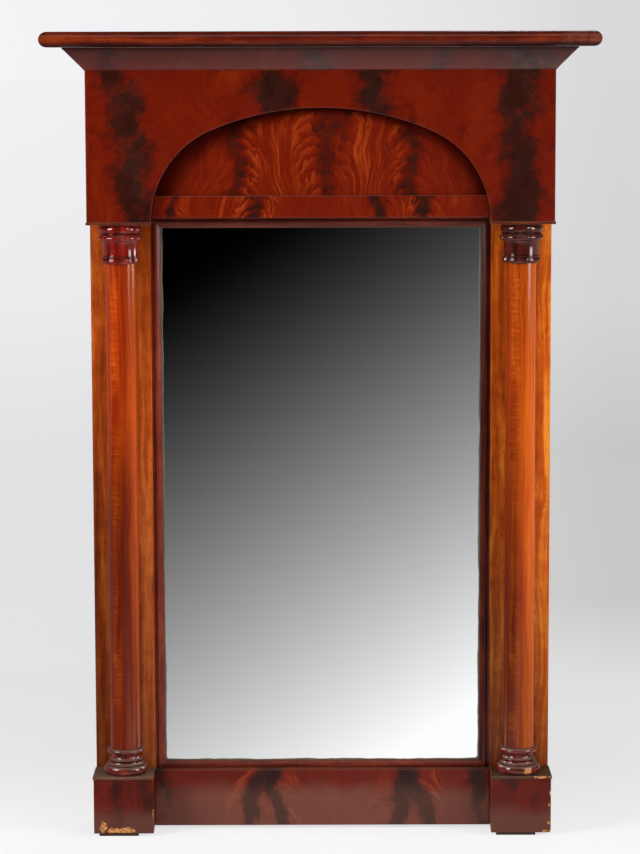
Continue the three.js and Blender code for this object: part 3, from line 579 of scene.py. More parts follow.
def aged_pine(name, centre=(0.0, 0.02, 0.5), lengthways="X", stain=1.0):
    """Bare pine, sawn through and through and planed, browned by age: year rings 4 mm apart round the
    log's centre, cut open along the board, dark late wood, soot and water stains."""
    material, tree = new_material(name)
    place = add(tree, "TexCoord", out="Object")
    about = add(tree, "VectorMath", {0: place, 1: centre}, operation="SUBTRACT")
    wander = add(tree, "TexNoise", {"Vector": place, "Scale": 2.2}, out=1)
    wander = add(tree, "VectorMath", {0: wander, 1: (0.5, 0.5, 0.5)}, operation="SUBTRACT")
    moved = add(tree, "VectorMath", {0: wander, 1: (0.12, 0.12, 0.12), 2: about},
                operation="MULTIPLY_ADD")
    rings = add(tree, "TexWave", {"Vector": moved, "Scale": 72.0, "Distortion": 1.2, "Detail": 2.0,
                                  "Detail Scale": 0.25}, out=1, wave_type="RINGS",
                rings_direction=lengthways, wave_profile="SAW")
    fibre = stretched_noise(tree, place, [14.0 if axis == lengthways else 700.0 for axis in "XYZ"])
    soot = add(tree, "TexNoise", {"Vector": place, "Scale": 6.0, "Detail": 6.0, "Roughness": 0.65})
    colour = add(tree, "ValToRGB", {0: rings}, stops=[(0.0, "#c58d58"), (0.6, "#b67743"),
                                                      (0.9, "#95582c"), (1.0, "#6f3f22")])
    fibred = add(tree, "MapRange", {"Value": fibre, 1: 0.3, 2: 0.7, 3: 0.82, 4: 1.1})
    grimed = add(tree, "MapRange", {"Value": soot, 1: 0.35, 2: 0.7, 3: 1.0 * stain, 4: 0.7 * stain})
    shade = add(tree, "Math", {0: fibred, 1: grimed}, operation="MULTIPLY")
    colour = add(tree, "VectorMath", {0: colour, "Scale": shade}, operation="SCALE")
    normal = add(tree, "Bump", {"Strength": 0.35, "Distance": 0.3 * MM, "Height": fibre})
    shader = add(tree, "BsdfPrincipled", {"Base Color": colour, "Roughness": 0.82, "Normal": normal,
                                          "Specular IOR Level": 0.3})
    add(tree, "OutputMaterial", {"Surface": shader})
    return material


def forged_iron(name):
    """Wrought iron, hammered and blackened: dark scale with patches of fine rust."""
    material, tree = new_material(name)
    place = add(tree, "TexCoord", out="Object")
    rust = add(tree, "TexNoise", {"Vector": place, "Scale": 260.0, "Detail": 6.0, "Roughness": 0.7})
    colour = add(tree, "ValToRGB", {0: rust}, stops=[(0.35, "#2a2725"), (0.55, "#3c3430"),
                                                     (0.72, "#6a3d22")])
    metal = add(tree, "MapRange", {"Value": rust, 1: 0.5, 2: 0.68, 3: 0.9, 4: 0.1})
    rough = add(tree, "MapRange", {"Value": rust, 1: 0.4, 2: 0.7, 3: 0.38, 4: 0.8})
    normal = add(tree, "Bump", {"Strength": 0.3, "Distance": 0.15 * MM, "Height": rust})
    shader = add(tree, "BsdfPrincipled", {"Base Color": colour, "Metallic": metal, "Roughness": rough,
                                          "Normal": normal})
    add(tree, "OutputMaterial", {"Surface": shader})
    return material


def silvered_plate(name, half_width, foot):
    """Plate glass, silvered on the back: a clear mirror whose silver has let go along its edges, where
    it is dull brown-grey."""
    material, tree = new_material(name)
    place = add(tree, "TexCoord", out="Object")
    x = add(tree, "SeparateXYZ", {0: place}, out=0)
    z = add(tree, "SeparateXYZ", {0: place}, out=2)
    side = add(tree, "Math", {0: x}, operation="ABSOLUTE")
    side = add(tree, "Math", {0: half_width, 1: side}, operation="SUBTRACT")
    height = add(tree, "Math", {0: z, 1: foot}, operation="SUBTRACT")
    edge = add(tree, "Math", {0: side, 1: height, 2: 6 * MM}, operation="SMOOTH_MIN")
    waves = add(tree, "TexNoise", {"Vector": place, "Scale": 20.0, "Detail": 4.0})
    eaten = add(tree, "Math", {0: waves, 1: 6 * MM, 2: -2 * MM}, operation="MULTIPLY_ADD")
    rest = add(tree, "Math", {0: edge, 1: eaten}, operation="SUBTRACT")
    silver = add(tree, "MapRange", {"Value": rest, 1: 0.2 * MM, 2: 1.2 * MM})
    colour = add(tree, "Mix", {"Factor": silver, "A": "#6b6a58", "B": (0.93, 0.94, 0.935, 1)},
                 data_type="RGBA")
    rough = add(tree, "MapRange", {"Value": silver, 3: 0.35, 4: 0.0})
    shader = add(tree, "BsdfPrincipled", {"Base Color": colour, "Metallic": silver, "Roughness": rough})
    add(tree, "OutputMaterial", {"Surface": shader})
    return material


# ------------------------------------------------------------------ pieces


def board(name, node, material, slot, radius=None, step=None, attributes=None, chips=()):
    """One rounded board in the place of a CAD node. attributes turns its points into figure values, and
    points in a chip sink 0.9 mm towards the board's middle."""
    low, high = extent(node)
    radius = radius or bpy.context.scene.mirror_sizes.arris
    points, faces, arris = block_surface(low, high, radius, step)
    values = {"arris": arris, **(attributes(points) if attributes else {})}
    if chips:
        values["chip"] = chipped(points, chips)
        inward = (low + high) / 2 - points
        inward /= np.linalg.norm(inward, axis=1, keepdims=True)
        points = points + inward * values["chip"][:, None] * 0.9 * MM
    return make_piece(name, points, faces, material, slot, "frame", [node], values)


def panel_figure(foot, head, plumes, fans, axis=0, divergence=0.1):
    """A function that gives a panel's points their place in its figure, across one axis and up Z."""
    return lambda points: crotch_grain(
        points[:, axis], points[:, 2], foot, head, plumes, fans, divergence)


class MIRROR_OT_turn_columns(bpy.types.Operator):
    """Turn the two columns: base, shaft and capital on each side"""

    bl_idname = "mirror.turn_columns"
    bl_label = "Columns"

    bore = 11.3
    # Outlines as radii and heights in millimetres over the piece's foot: torus, scotias and fillets.
    base = [
        (26.5, 0), *bow((28.2, 0.3), (28.0, 12.2), 2.6, 16), (27.0, 12.5), (26.7, 13.9),
        *bow((26.2, 14.2), (23.2, 18.9), -0.9, 8), *bow((23.2, 19.0), (22.9, 21.0), 0.8, 6),
        *bow((22.6, 21.1), (20.2, 26.8), -0.9, 10), *bow((20.2, 26.8), (24.4, 29.8), -0.5, 6),
        *bow((24.4, 29.8), (24.2, 35.7), 1.8, 12),
    ]
    capital = [
        (22.8, 0), *bow((24.2, 0.2), (24.7, 7.4), 1.7, 12), (25.3, 7.6), (25.3, 9.5),
        *bow((24.5, 9.8), (24.6, 27.0), -0.25, 8), *bow((24.6, 27.0), (27.6, 31.8), -0.7, 8),
        *bow((28.4, 32.0), (28.8, 38.6), 2.0, 12), (27.3, 40.0), (26.9, 41.6),
        *bow((27.3, 42.0), (27.5, 52.4), 2.0, 14),
    ]

    def profile(self, outline, head_radius, foot, head):
        """An outline set on its foot, carried to the head at a radius and closed down the bore."""
        points = np.array([(self.bore, 0), *outline]) * MM + (0, foot)
        bore = self.bore * MM
        return [*points, (head_radius * MM, head), (bore, head), (bore, foot)]

    def execute(self, context):
        sizes = context.scene.mirror_sizes
        cherry = {"left": straight_mahogany("left turned mahogany", ("#420b07", "#74150c", "#8e2011"),
                                            rough=0.09, dustiness=0.7),
                  "right": straight_mahogany("right turned mahogany", ("#2c0e0a", "#481710", "#641f14"),
                                             rough=0.09, dustiness=0.7)}
        foot_wood = straight_mahogany("turned base mahogany", ("#3a110b", "#661e15", "#80291e"),
                                      rough=0.1, dustiness=1.35)
        # Colours, the lit side's edge, and painted-shade scales at heights in metres: shaded side, then lit
        # side.
        shafts = {
            "left": (("#741a04", "#932a07", "#d0580d"), (0.1, 0.95),
                     ((0.1, 0.45), (0.43, 0.37), (0.5, 0.5), (0.6, 0.86), (0.72, 1.0), (0.8, 0.87)),
                     ((0.1, 0.36), (0.22, 0.55), (0.33, 0.76), (0.5, 0.92), (0.64, 1.12), (0.8, 0.74))),
            "right": (("#7c2105", "#983309", "#d26414"), (-0.55, 0.6),
                      ((0.1, 0.35), (0.3, 0.36), (0.45, 0.55), (0.55, 0.65), (0.65, 0.92), (0.8, 0.85)),
                      ((0.1, 0.62), (0.22, 0.85), (0.36, 1.1), (0.45, 1.25), (0.7, 1.08), (0.8, 0.82))),
        }
        for side in SIDES:
            low, high = extent(f"column_base_{side}")
            centre, base_top = (low + high) / 2, high[2]
            profile = self.profile(self.base, 23.6, low[2], high[2])
            points, faces = turned_surface(profile, centre, sizes.turned_sides)
            broken = [((288.0, -13.0, 91.0), (7.0, 8.0, 6.5))] if side == "right" else []
            make_piece(f"turned_base_{side}", points, faces, foot_wood, "turned_mahogany", "frame",
                       [f"column_base_{side}"],
                       {"chip": chipped(points, broken), **turned_wear_and_glint(profile, sizes.turned_sides)})
            low, high = extent(f"column_capital_{side}")
            profile = self.profile(self.capital, 27.6, low[2], high[2])
            make_piece(f"turned_capital_{side}", *turned_surface(profile, centre, sizes.turned_sides),
                       cherry[side], "turned_mahogany", "frame", [f"column_capital_{side}"],
                       turned_wear_and_glint(profile, sizes.turned_sides))
            wood = shaft_mahogany(f"{side} shaft mahogany", centre, 21 * MM, *shafts[side])
            self.turn_shaft(side, centre, base_top, low[2], wood, sizes.turned_sides)
        return {"FINISHED"}

    def turn_shaft(self, side, centre, base_top, capital_foot, material, sides):
        """A shaft that tapers a little, with a tenon at each end that runs into the base's and the
        capital's bore."""
        low, high = extent(f"column_shaft_{side}")
        tenon, foot, head, gap = 11 * MM, 21 * MM, 20.6 * MM, 0.1 * MM
        z = np.linspace(base_top + gap, capital_foot - gap, 60)
        radius = foot + (head - foot) * (z - z[0]) / (z[-1] - z[0])
        profile = [(0, low[2]), (tenon, low[2]), (tenon, z[0]), *zip(radius, z),
                   (tenon, z[-1]), (tenon, high[2]), (0, high[2])]
        make_piece(f"turned_shaft_{side}", *turned_surface(profile, centre, sides),
                   material, "shaft_mahogany", "frame", [f"column_shaft_{side}"])


class MIRROR_OT_veneer_frieze(bpy.types.Operator):
    """Veneer the frieze: the arched board, its returns, the lunette, the band and the soffit plates"""

    bl_idname = "mirror.veneer_frieze"
    bl_label = "Frieze"

    def arch(self, half_width, rise, haunch_drop, count):
        """Points of a three-centred arch from the left springing to the right one. The haunches' radius
        is the rise less the drop, and the crown's is the one at which its circle touches theirs."""
        haunch = rise - haunch_drop
        crown = (half_width ** 2 + rise ** 2 - 2 * half_width * haunch) / (2 * haunch_drop)
        side = half_width - haunch
        turn = math.atan2(crown - rise, side)
        t = np.linspace(math.pi, math.pi - turn, count)
        left = np.stack([-side + haunch * np.cos(t), haunch * np.sin(t)], -1)
        t = np.linspace(math.pi - turn, turn, 2 * count)[1:-1]
        top = np.stack([crown * np.cos(t), rise - crown + crown * np.sin(t)], -1)
        return np.concatenate([left, top, left[::-1] * (-1, 1)])

    def arch_line(self):
        """The arch of the frieze board, as points across and up. Its crown lies 81.9 mm under the
        board's top."""
        low, high = extent("frieze_board")
        half_width = -extent("soffit_plate_left")[1][0]
        return self.arch(half_width, high[2] - low[2] - 81.9 * MM, 20 * MM, 70) + (0, low[2])

    def arched_board(self, material, figure):
        """The board over the arch. A ray from the middle of the springing line passes through each point
        of the arch and on to the board's outline, and two more rays pass through its upper corners. The
        board's section is carried from ray to ray: share of the way out, set off from there, and
        depth."""
        low, high = extent("frieze_board")
        radius = bpy.context.scene.mirror_sizes.arris
        height = high[2] - low[2]
        inner = self.arch_line() - (0, low[2])
        turn = np.arctan2(inner[:, 1], inner[:, 0])
        corner = math.atan2(height, high[0])
        wanted = np.sort(np.concatenate([turn, [corner, math.pi - corner]]))[::-1]
        inner = np.stack([np.interp(-wanted, -turn, inner[:, k]) for k in (0, 1)], -1)
        ray = np.stack([np.cos(wanted), np.sin(wanted)], -1)
        reach = np.minimum(high[0] / np.maximum(np.abs(ray[:, 0]), 1e-9),
                           height / np.maximum(ray[:, 1], 1e-9))
        outer = ray * reach[:, None]
        width = np.linalg.norm(outer - inner, axis=1)
        way = (outer - inner) / width[:, None]
        bend = np.linspace(0, math.pi / 2, 4)
        rim = list(zip(radius * (1 - np.cos(bend)), low[1] + radius * (1 - np.sin(bend))))
        steps = 34
        section = np.array([*((0, off, depth) for off, depth in rim),
                            *((k / steps, 0, low[1]) for k in range(1, steps)),
                            *((1, -off, depth) for off, depth in rim[::-1]),
                            (1, 0, high[1]), (0, 0, high[1])])
        out = section[:, 0] * width[:, None] + section[:, 1]
        spots = inner[:, None, :] + way[:, None, :] * out[..., None]
        rows, columns = out.shape
        points = np.stack([spots[..., 0], np.tile(section[:, 2], (rows, 1)), spots[..., 1] + low[2]], -1)
        arris = np.zeros(columns)
        arris[1:3] = arris[-5:-3] = 1
        points = points.reshape(-1, 3)
        faces = [tuple(f) for f in grid_faces(rows, columns, close_columns=True)]
        faces.append(tuple(range(columns))[::-1])
        faces.append(tuple(range((rows - 1) * columns, rows * columns)))
        faces = facing_out(points, faces)
        make_piece("veneered_frieze_board", points, faces, material, "crotch_veneer", "frame",
                   ["frieze_board"], {"arris": np.tile(arris, rows), **figure(points)})

    def execute(self, context):
        sizes = context.scene.mirror_sizes
        veneer = crotch_mahogany("crotch mahogany veneer", darkness=0.95, depth=0.93, bloom=0.1,
                                 joints=(-0.1615, 0.1685), soft=0.8, shine=0.4, feather=0.07)
        fine = crotch_mahogany("crotch mahogany lunette veneer", darkness=0.62,
                               joints=(-0.112, 0.018, 0.089), shine=0.4, feather=0.2)
        narrow = crotch_mahogany("crotch mahogany band veneer", darkness=0.8,
                                 joints=(-0.109, -0.013, 0.09), shine=0.4, feather=0.34)
        edge = straight_mahogany("straight mahogany edging", ("#32120a", "#55200f", "#7a3a1c"),
                                 lengthways="X")
        low, high = extent("frieze_board")
        figure = panel_figure(low[2], high[2], [
            (-0.243, -0.275, 0.034, 0.85, 0.6), (-0.067, -0.067, 0.028, 0.6, 0.85),
            (0.079, 0.072, 0.028, 0.6, 0.85), (0.27, 0.268, 0.036, 0.8, 0.65)],
            [(-0.13, -0.14, 0.035, 0.2, 0.5), (0.13, 0.14, 0.035, 0.0, 0.2),
             (0.0, 0.0, 0.025, 0.0, 0.1), (-0.295, -0.3, 0.02, 0.3, 0.1),
             (0.215, 0.23, 0.02, 0.0, 0.3)])
        self.arched_board(veneer, figure)
        low, high = extent("lunette_panel")
        figure = panel_figure(low[2] + 30 * MM, high[2] - 20 * MM, [
            (-0.118, -0.114, 0.019, 0.7, 1.0, 0.5, 1.2), (0.008, 0.014, 0.024, 0.7, 0.75, 1.2, 0.6),
            (0.128, 0.116, 0.016, 0.75, 0.9, 1.1, 0.5)],
            [(-0.062, -0.055, 0.036, 1.0, 0.75), (0.062, 0.066, 0.034, 1.0, 0.95),
             (-0.165, -0.17, 0.03, 0.35, 0.1), (0.18, 0.18, 0.03, 0.3, 0.1)], divergence=0.13)
        edge_line = self.arch_line()

        def with_arch_shadow(points):
            """The figure, with a painted shadow in the corner under the arch, which darkens and dulls the
            veneer:
            26 mm wide at the left, 7 mm under the crown and 13 mm at the right."""
            away = np.min(np.linalg.norm(points[:, None, [0, 2]] - edge_line[None], axis=2), axis=1)
            aside = points[:, 0] / edge_line[:, 0].max()
            width = np.interp(aside, [-1, -0.75, 0, 0.75, 1], [26, 26, 7, 13, 13]) * MM
            return {"grime": np.clip(1.25 - away / width, 0, 1) ** 0.8, **figure(points)}

        board("veneered_lunette", "lunette_panel", fine, "crotch_veneer", step=sizes.figure_step,
              attributes=with_arch_shadow)
        self.band(narrow)
        for side in SIDES:
            low, high = extent(f"frieze_return_{side}")
            figure = panel_figure(low[2], high[2], [(0.0, 0.01, 0.02, 0.5, 0.7)],
                                  [(0.035, 0.04, 0.02, 0.3, 0.3)], axis=1)
            board(f"veneered_return_{side}", f"frieze_return_{side}", veneer, "crotch_veneer",
                  step=sizes.figure_step, attributes=figure, radius=0.2 * MM)
            board(f"polished_soffit_{side}", f"soffit_plate_{side}", edge, "straight_mahogany")
        dress(aged_pine("frieze floor pine", (0.0, 0.01, 0.80)), "frieze_bottom_board")
        return {"FINISHED"}

    def band(self, material):
        """The band: a strip between two heights whose ends follow the haunches' arcs, 0.3 mm inside
        them. A point's place across grows with the arc's reach at its height."""
        sizes = bpy.context.scene.mirror_sizes
        low, high = extent("arch_band")
        springing = extent("frieze_board")[0][2]
        haunch = 134.7 * MM
        centre = high[0] - math.sqrt(haunch ** 2 - (low[2] - springing) ** 2)
        points, faces, arris = block_surface(low, high, 0.5 * MM, sizes.figure_step)
        rise = np.clip(points[:, 2] - springing, 0, haunch)
        reach = centre + np.sqrt(haunch ** 2 - rise ** 2)
        points[:, 0] *= reach / high[0]
        figure = panel_figure(low[2] - 0.02, high[2] + 0.02, [
            (-0.205, -0.19, 0.008, 1.0, 0.7), (-0.094, -0.09, 0.015, 1.0, 1.0, 1.2, 0.8),
            (-0.015, -0.015, 0.01, 0.2, 0.3, 0.1, 0.1), (0.08, 0.08, 0.012, 0.8, 0.8, 0.2, 0.3),
            (0.144, 0.144, 0.015, 1.0, 1.0, 0.9, 0.7)],
            [(-0.19, -0.18, 0.016, 0.9, 0.6), (-0.13, -0.13, 0.02, 0.9, 0.9),
             (-0.07, -0.075, 0.018, 0.9, 0.7), (0.04, 0.04, 0.02, 0.5, 0.4),
             (0.115, 0.11, 0.016, 0.7, 0.6), (0.175, 0.19, 0.02, 0.6, 0.5)])
        make_piece("veneered_arch_band", points, faces, material, "crotch_veneer", "frame",
                   ["arch_band"], {"arris": arris, **figure(points)})


class MIRROR_OT_run_cornice(bpy.types.Operator):
    """Run the cornice: canted moulding, board and bullnosed edging, mitred at the front corners"""

    bl_idname = "mirror.run_cornice"
    bl_label = "Cornice"

    def runs(self, name, node, section, x, y, back, material, figure, steps):
        """A section of distance out and height, run along the front between two mitres and along each
        side from its mitre to the back. x and y are the faces that it stands out from. The mitres stay
        0.05 mm apart."""
        gap = 0.05 * MM
        placed = {"front": (
            lambda out, up: (-(x + out - gap), y - out, up),
            lambda out, up: (x + out - gap, y - out, up),
            steps,
        )}
        for side, sign in SIDES.items():
            placed[side] = (
                lambda out, up, s=sign: (s * (x + out), y - out + gap, up),
                lambda out, up, s=sign: (s * (x + out), back, up),
                max(4, steps // 6),
            )
        for part, (start, end, count) in placed.items():
            points, faces = sweep_surface(section, start, end, count)
            axis = 0 if part == "front" else 1
            finish = material[part] if isinstance(material, dict) else material
            make_piece(f"{name}_{part}", points, faces, finish, "crotch_veneer", "frame",
                       [f"{node}_{part}"], figure(points, axis))

    def execute(self, context):
        veneer = crotch_mahogany("crotch mahogany cornice veneer", rough=0.28, darkness=0.75, depth=0.78,
                                 bloom=0.8, soft=0.8, feather=0.05)
        low, high = extent("splay_front")
        frieze_low, frieze_high = extent("frieze_board")
        x, y, back = frieze_high[0], frieze_low[1], extent("stile_left")[1][1]
        glue, fillet, out = 0.1 * MM, 1.4 * MM, frieze_low[1] - low[1]
        section = [(glue, low[2]), (fillet - 0.3 * MM, low[2]), (fillet, low[2] + 0.3 * MM),
                   (fillet + 0.1 * MM, low[2] + fillet), (out - 6 * MM, high[2] - fillet - 5.7 * MM),
                   (out - 0.3 * MM, high[2] - fillet), (out, high[2] - fillet + 0.4 * MM),
                   (out, high[2]), (glue, high[2])]

        def splay_figure(points, axis):
            """The veneer's figure, and the painted shadow of the cornice board on the splay's top 16 mm."""
            plumes = [(-0.28, -0.27, 0.04, 0.45, 0.55), (-0.2, -0.2, 0.02, 0.3, 0.4),
                      (0.0, 0.0, 0.03, 0.7, 0.7), (0.16, 0.16, 0.02, 0.4, 0.5),
                      (0.28, 0.28, 0.05, 0.8, 0.9)]
            fans = [(-0.07, -0.07, 0.03, 0.6, 0.5), (0.23, 0.23, 0.02, 0.2, 0.2)]
            darkening = np.clip((points[:, 2] - high[2] + 16 * MM) / (16 * MM), 0, 1) ** 1.2
            figure = panel_figure(low[2] - 0.05, high[2] + 0.05, plumes, fans, axis)
            return {"grime": darkening, **figure(points)}

        self.runs("veneered_splay", "splay", section, x, y, back, veneer, splay_figure, 120)
        board_low, board_high = extent("cornice_board")
        low, high = extent("nosing_front")
        nosing_foot = low[2]
        round_ = (high[2] - low[2]) / 2
        width = board_low[1] - low[1]
        turn = np.linspace(-math.pi / 2, math.pi / 2, 25)
        section = [(glue, low[2])]
        section += [(width - round_ + round_ * math.cos(t), low[2] + round_ + round_ * math.sin(t))
                    for t in turn]
        section += [(glue, high[2])]

        woods = {}
        for part in ("front", "left", "right"):
            is_front = part == "front"
            woods[part] = straight_mahogany(
                f"{part} nosing mahogany", ("#3c1108", "#601807", "#85300f"), "X" if is_front else "Y",
                dustiness=0.1, rough=0.2, shine=0.3,
                joints=(-0.285, -0.247, -0.03, 0.012, 0.3093) if is_front else ())

        def nosing_wear_and_shade(points, axis):
            """Rubbed through in specks at the right end and by the leftmost joint, and darkened and dulled
            on the lowest 8 mm of the round, a painted shade on its underside."""
            worn = np.clip((points[:, 0] - 0.309) / 0.02, 0, 1) * 0.8
            scuffs = [((-287, -72, 1107), (5, 4, 9)), ((-320, -72, 1111), (14, 3, 3)),
                      ((-298, -72, 1103), (9, 3, 2.5))]
            scuffed = 0.75 * chipped(points, scuffs)
            chips = [((376, -70, 1100), (3, 5, 3))]
            return {"arris": np.maximum(worn, scuffed), "chip": chipped(points, chips),
                    "grime": np.clip((nosing_foot + 8 * MM - points[:, 2]) / (5 * MM), 0, 1),
                    "tone": np.interp(points[:, 0], (0.1, 0.25), (0, -0.2))}

        self.runs("bullnose", "nosing", section, board_high[0], board_low[1], back, woods,
                  nosing_wear_and_shade, 240)
        top = aged_pine("cornice pine", (0.0, 0.01, 1.08), stain=0.6)
        board("planed_cornice_board", "cornice_board", top, "pine", radius=0.3 * MM)
        return {"FINISHED"}


class MIRROR_OT_build_plinths(bpy.types.Operator):
    """Build the plinths: veneered blocks, their caps and the pads under them"""

    bl_idname = "mirror.build_plinths"
    bl_label = "Plinths"

    def execute(self, context):
        sizes = context.scene.mirror_sizes
        # The lowest part of the plinth veneer carries a painted reflection of the pale floor.
        veneer = crotch_mahogany("crotch mahogany plinth veneer", rough=0.36, darkness=0.7, depth=0.74,
                                 soft=0.6, shine=0.2, floor_reflection_below=(0.036, "#604a3e"), feather=0.06)
        caps = {"left": straight_mahogany("left cap mahogany", ("#3a1e14", "#56301f", "#74452d"),
                                          lengthways="X", rub="#a46a44", dustiness=1.2),
                "right": straight_mahogany("right cap mahogany", ("#1e0f0a", "#301a11", "#48291b"),
                                           lengthways="X", rub="#a46a44", dustiness=0.35)}
        pad = straight_mahogany("stained pad wood", ("#1e0f0a", "#33190f", "#46261a"), lengthways="X",
                                dustiness=0.0, rough=0.6)
        chips = {
            "left": [((-307, -17, 13), (7.5, 6, 10)), ((-290, -17, 6), (15, 6, 8)),
                     ((-272, -17, 7), (13, 6, 8)), ((-236, -17, 30), (2, 4, 12))],
            "right": [((317, -17, 18), (3.5, 4, 3)), ((311, -17, 6), (5, 4, 2.5)),
                      ((320, -17, 5), (4, 4, 4)), ((318, -17, 44), (2, 3, 3)),
                      ((320, -17, 60), (2, 4, 5))],
        }
        cap_chips = {"left": (), "right": [((306, -18, 83.5), (17, 2.5, 2.2))]}
        for side in SIDES:
            low, high = extent(f"plinth_block_{side}")
            middle = (low[0] + high[0]) / 2
            figure = panel_figure(low[2] - 0.02, high[2] + 0.03, [
                (middle - 0.016, middle - 0.012, 0.014, 0.3, 0.6),
                (middle + 0.03, middle + 0.03, 0.012, 0.3, 0.4)],
                [(middle - 0.028, middle - 0.03, 0.015, 0.25, 0.35)])
            board(f"veneered_plinth_{side}", f"plinth_block_{side}", veneer, "crotch_veneer",
                  step=sizes.figure_step / 2, attributes=figure, chips=chips[side])
            board(f"polished_cap_{side}", f"plinth_cap_{side}", caps[side], "straight_mahogany",
                  step=sizes.figure_step, chips=cap_chips[side])
            board(f"foot_pad_board_{side}", f"foot_pad_{side}", pad, "pine", radius=sizes.sawn_arris)
        return {"FINISHED"}


class MIRROR_OT_join_carcass(bpy.types.Operator):
    """Join the carcass: rebated stiles, rails and the bottom rail's veneered facing"""

    bl_idname = "mirror.join_carcass"
    bl_label = "Carcass"

    def stile(self, side, sign, material):
        """The stile's section, a board with a rebate at its back inner edge, carried up its length. Each
        corner is three points of an arc: its two ends and its crown."""
        low, high = extent(f"stile_{side}")
        outer = max(abs(low[0]), abs(high[0]))
        inner = min(abs(low[0]), abs(high[0]))
        rebate = extent("top_rail")[1][1]
        rebate_width, steps = 12 * MM, 40
        radius = bpy.context.scene.mirror_sizes.arris
        corners = np.array([
            (inner, low[1]), (outer, low[1]), (outer, high[1]), (inner + rebate_width, high[1]),
            (inner + rebate_width, rebate), (inner, rebate)])
        section = []
        for k, corner in enumerate(corners):
            before, after = corners[k - 1] - corner, corners[(k + 1) % len(corners)] - corner
            before, after = radius * before / np.linalg.norm(before), radius * after / np.linalg.norm(after)
            crown = (1 - math.sqrt(0.5)) * (before + after)
            section += [corner + before, corner + crown, corner + after]
        points, faces = sweep_surface(
            section, lambda u, v: (sign * u, v, low[2]), lambda u, v: (sign * u, v, high[2]), steps)
        arris = np.tile([0, 1, 0] * len(corners), steps + 1)
        # Painted light and shade: tones across each stile and up it, for the columns' shadows and the
        # light's fall.
        painted_shades = {"left": ((0.35, 0.38, 0.62, 0.51, 0.21, 0), (-0.42, -0.41, -0.29, -0.07, 0, -0.15)),
                 "right": ((-0.5, -0.33, -0.16, -0.12, -0.08, 0), (-0.09, 0.37, 0.34, 0.35, 0.27, 0.12))}
        heights = (0.1, 0.36, 0.5, 0.62, 0.71, 0.8)
        by_height = [np.interp(points[:, 2], heights, t) for t in painted_shades[side]]
        away = (np.abs(points[:, 0]) - inner) / (outer - inner)
        tone = by_height[0] * (1 - away) + by_height[1] * away
        make_piece(f"polished_stile_{side}", points, faces, material, "straight_mahogany", "frame",
                   [f"stile_{side}"], {"arris": arris, "tone": tone})

    def execute(self, context):
        sizes = context.scene.mirror_sizes
        # Painted shade: both stiles darken towards the foot; the right one is painted lighter, as lit from
        # the right.
        woods = {"left": straight_mahogany("left stile mahogany", ("#742a0b", "#9a4110", "#b86023"),
                                           foot=0.62, head=1.2, rub="#8a2c10", shine=0.16),
                 "right": straight_mahogany("right stile mahogany", ("#8a350c", "#b85514", "#da842a"),
                                            foot=0.65, head=1.15, rub="#8a2c10", shine=0.16)}
        for side, sign in SIDES.items():
            self.stile(side, sign, woods[side])
        # The lowest part of the rail veneer carries a painted reflection of the pale floor.
        veneer = crotch_mahogany("crotch mahogany rail veneer", rough=0.36, darkness=0.95, depth=0.82,
                                 dustiness=0.3, soft=0.35, shine=0.2, floor_reflection_below=(0.058, "#7e5848"),
                                 feather=0.16)
        low, high = extent("bottom_rail_facing")
        figure = panel_figure(low[2], high[2], [
            (-0.108, -0.08, 0.015, 1.0, 0.7, 0.9, 0.3), (-0.05, -0.072, 0.013, 0.9, 0.7, 0.3, 0.9),
            (0.102, 0.118, 0.016, 1.0, 0.8, 0.8, 0.3), (0.15, 0.126, 0.014, 0.9, 0.8, 0.3, 0.9),
            (-0.228, -0.228, 0.014, 0.25, 0.6), (0.222, 0.228, 0.014, 0.7, 0.5)],
            [(-0.135, -0.11, 0.012, 1.0, 1.0), (-0.08, -0.078, 0.007, 1.0, 0.3),
             (-0.025, -0.042, 0.014, 1.0, 1.2), (0.06, 0.085, 0.016, 0.6, 0.8),
             (0.186, 0.155, 0.016, 1.2, 1.3), (0.0, 0.0, 0.03, 0.3, 0.3)], divergence=0.16)
        board("veneered_rail_facing", "bottom_rail_facing", veneer, "crotch_veneer",
              step=sizes.figure_step, attributes=figure)
        for rail in ("top_rail", "bottom_rail"):
            low, high = extent(rail)
            dress(aged_pine(f"{rail} pine", (0.0, low[1] - 0.03, low[2] + 0.6 * (high[2] - low[2])),
                            stain=0.9), rail)
        return {"FINISHED"}


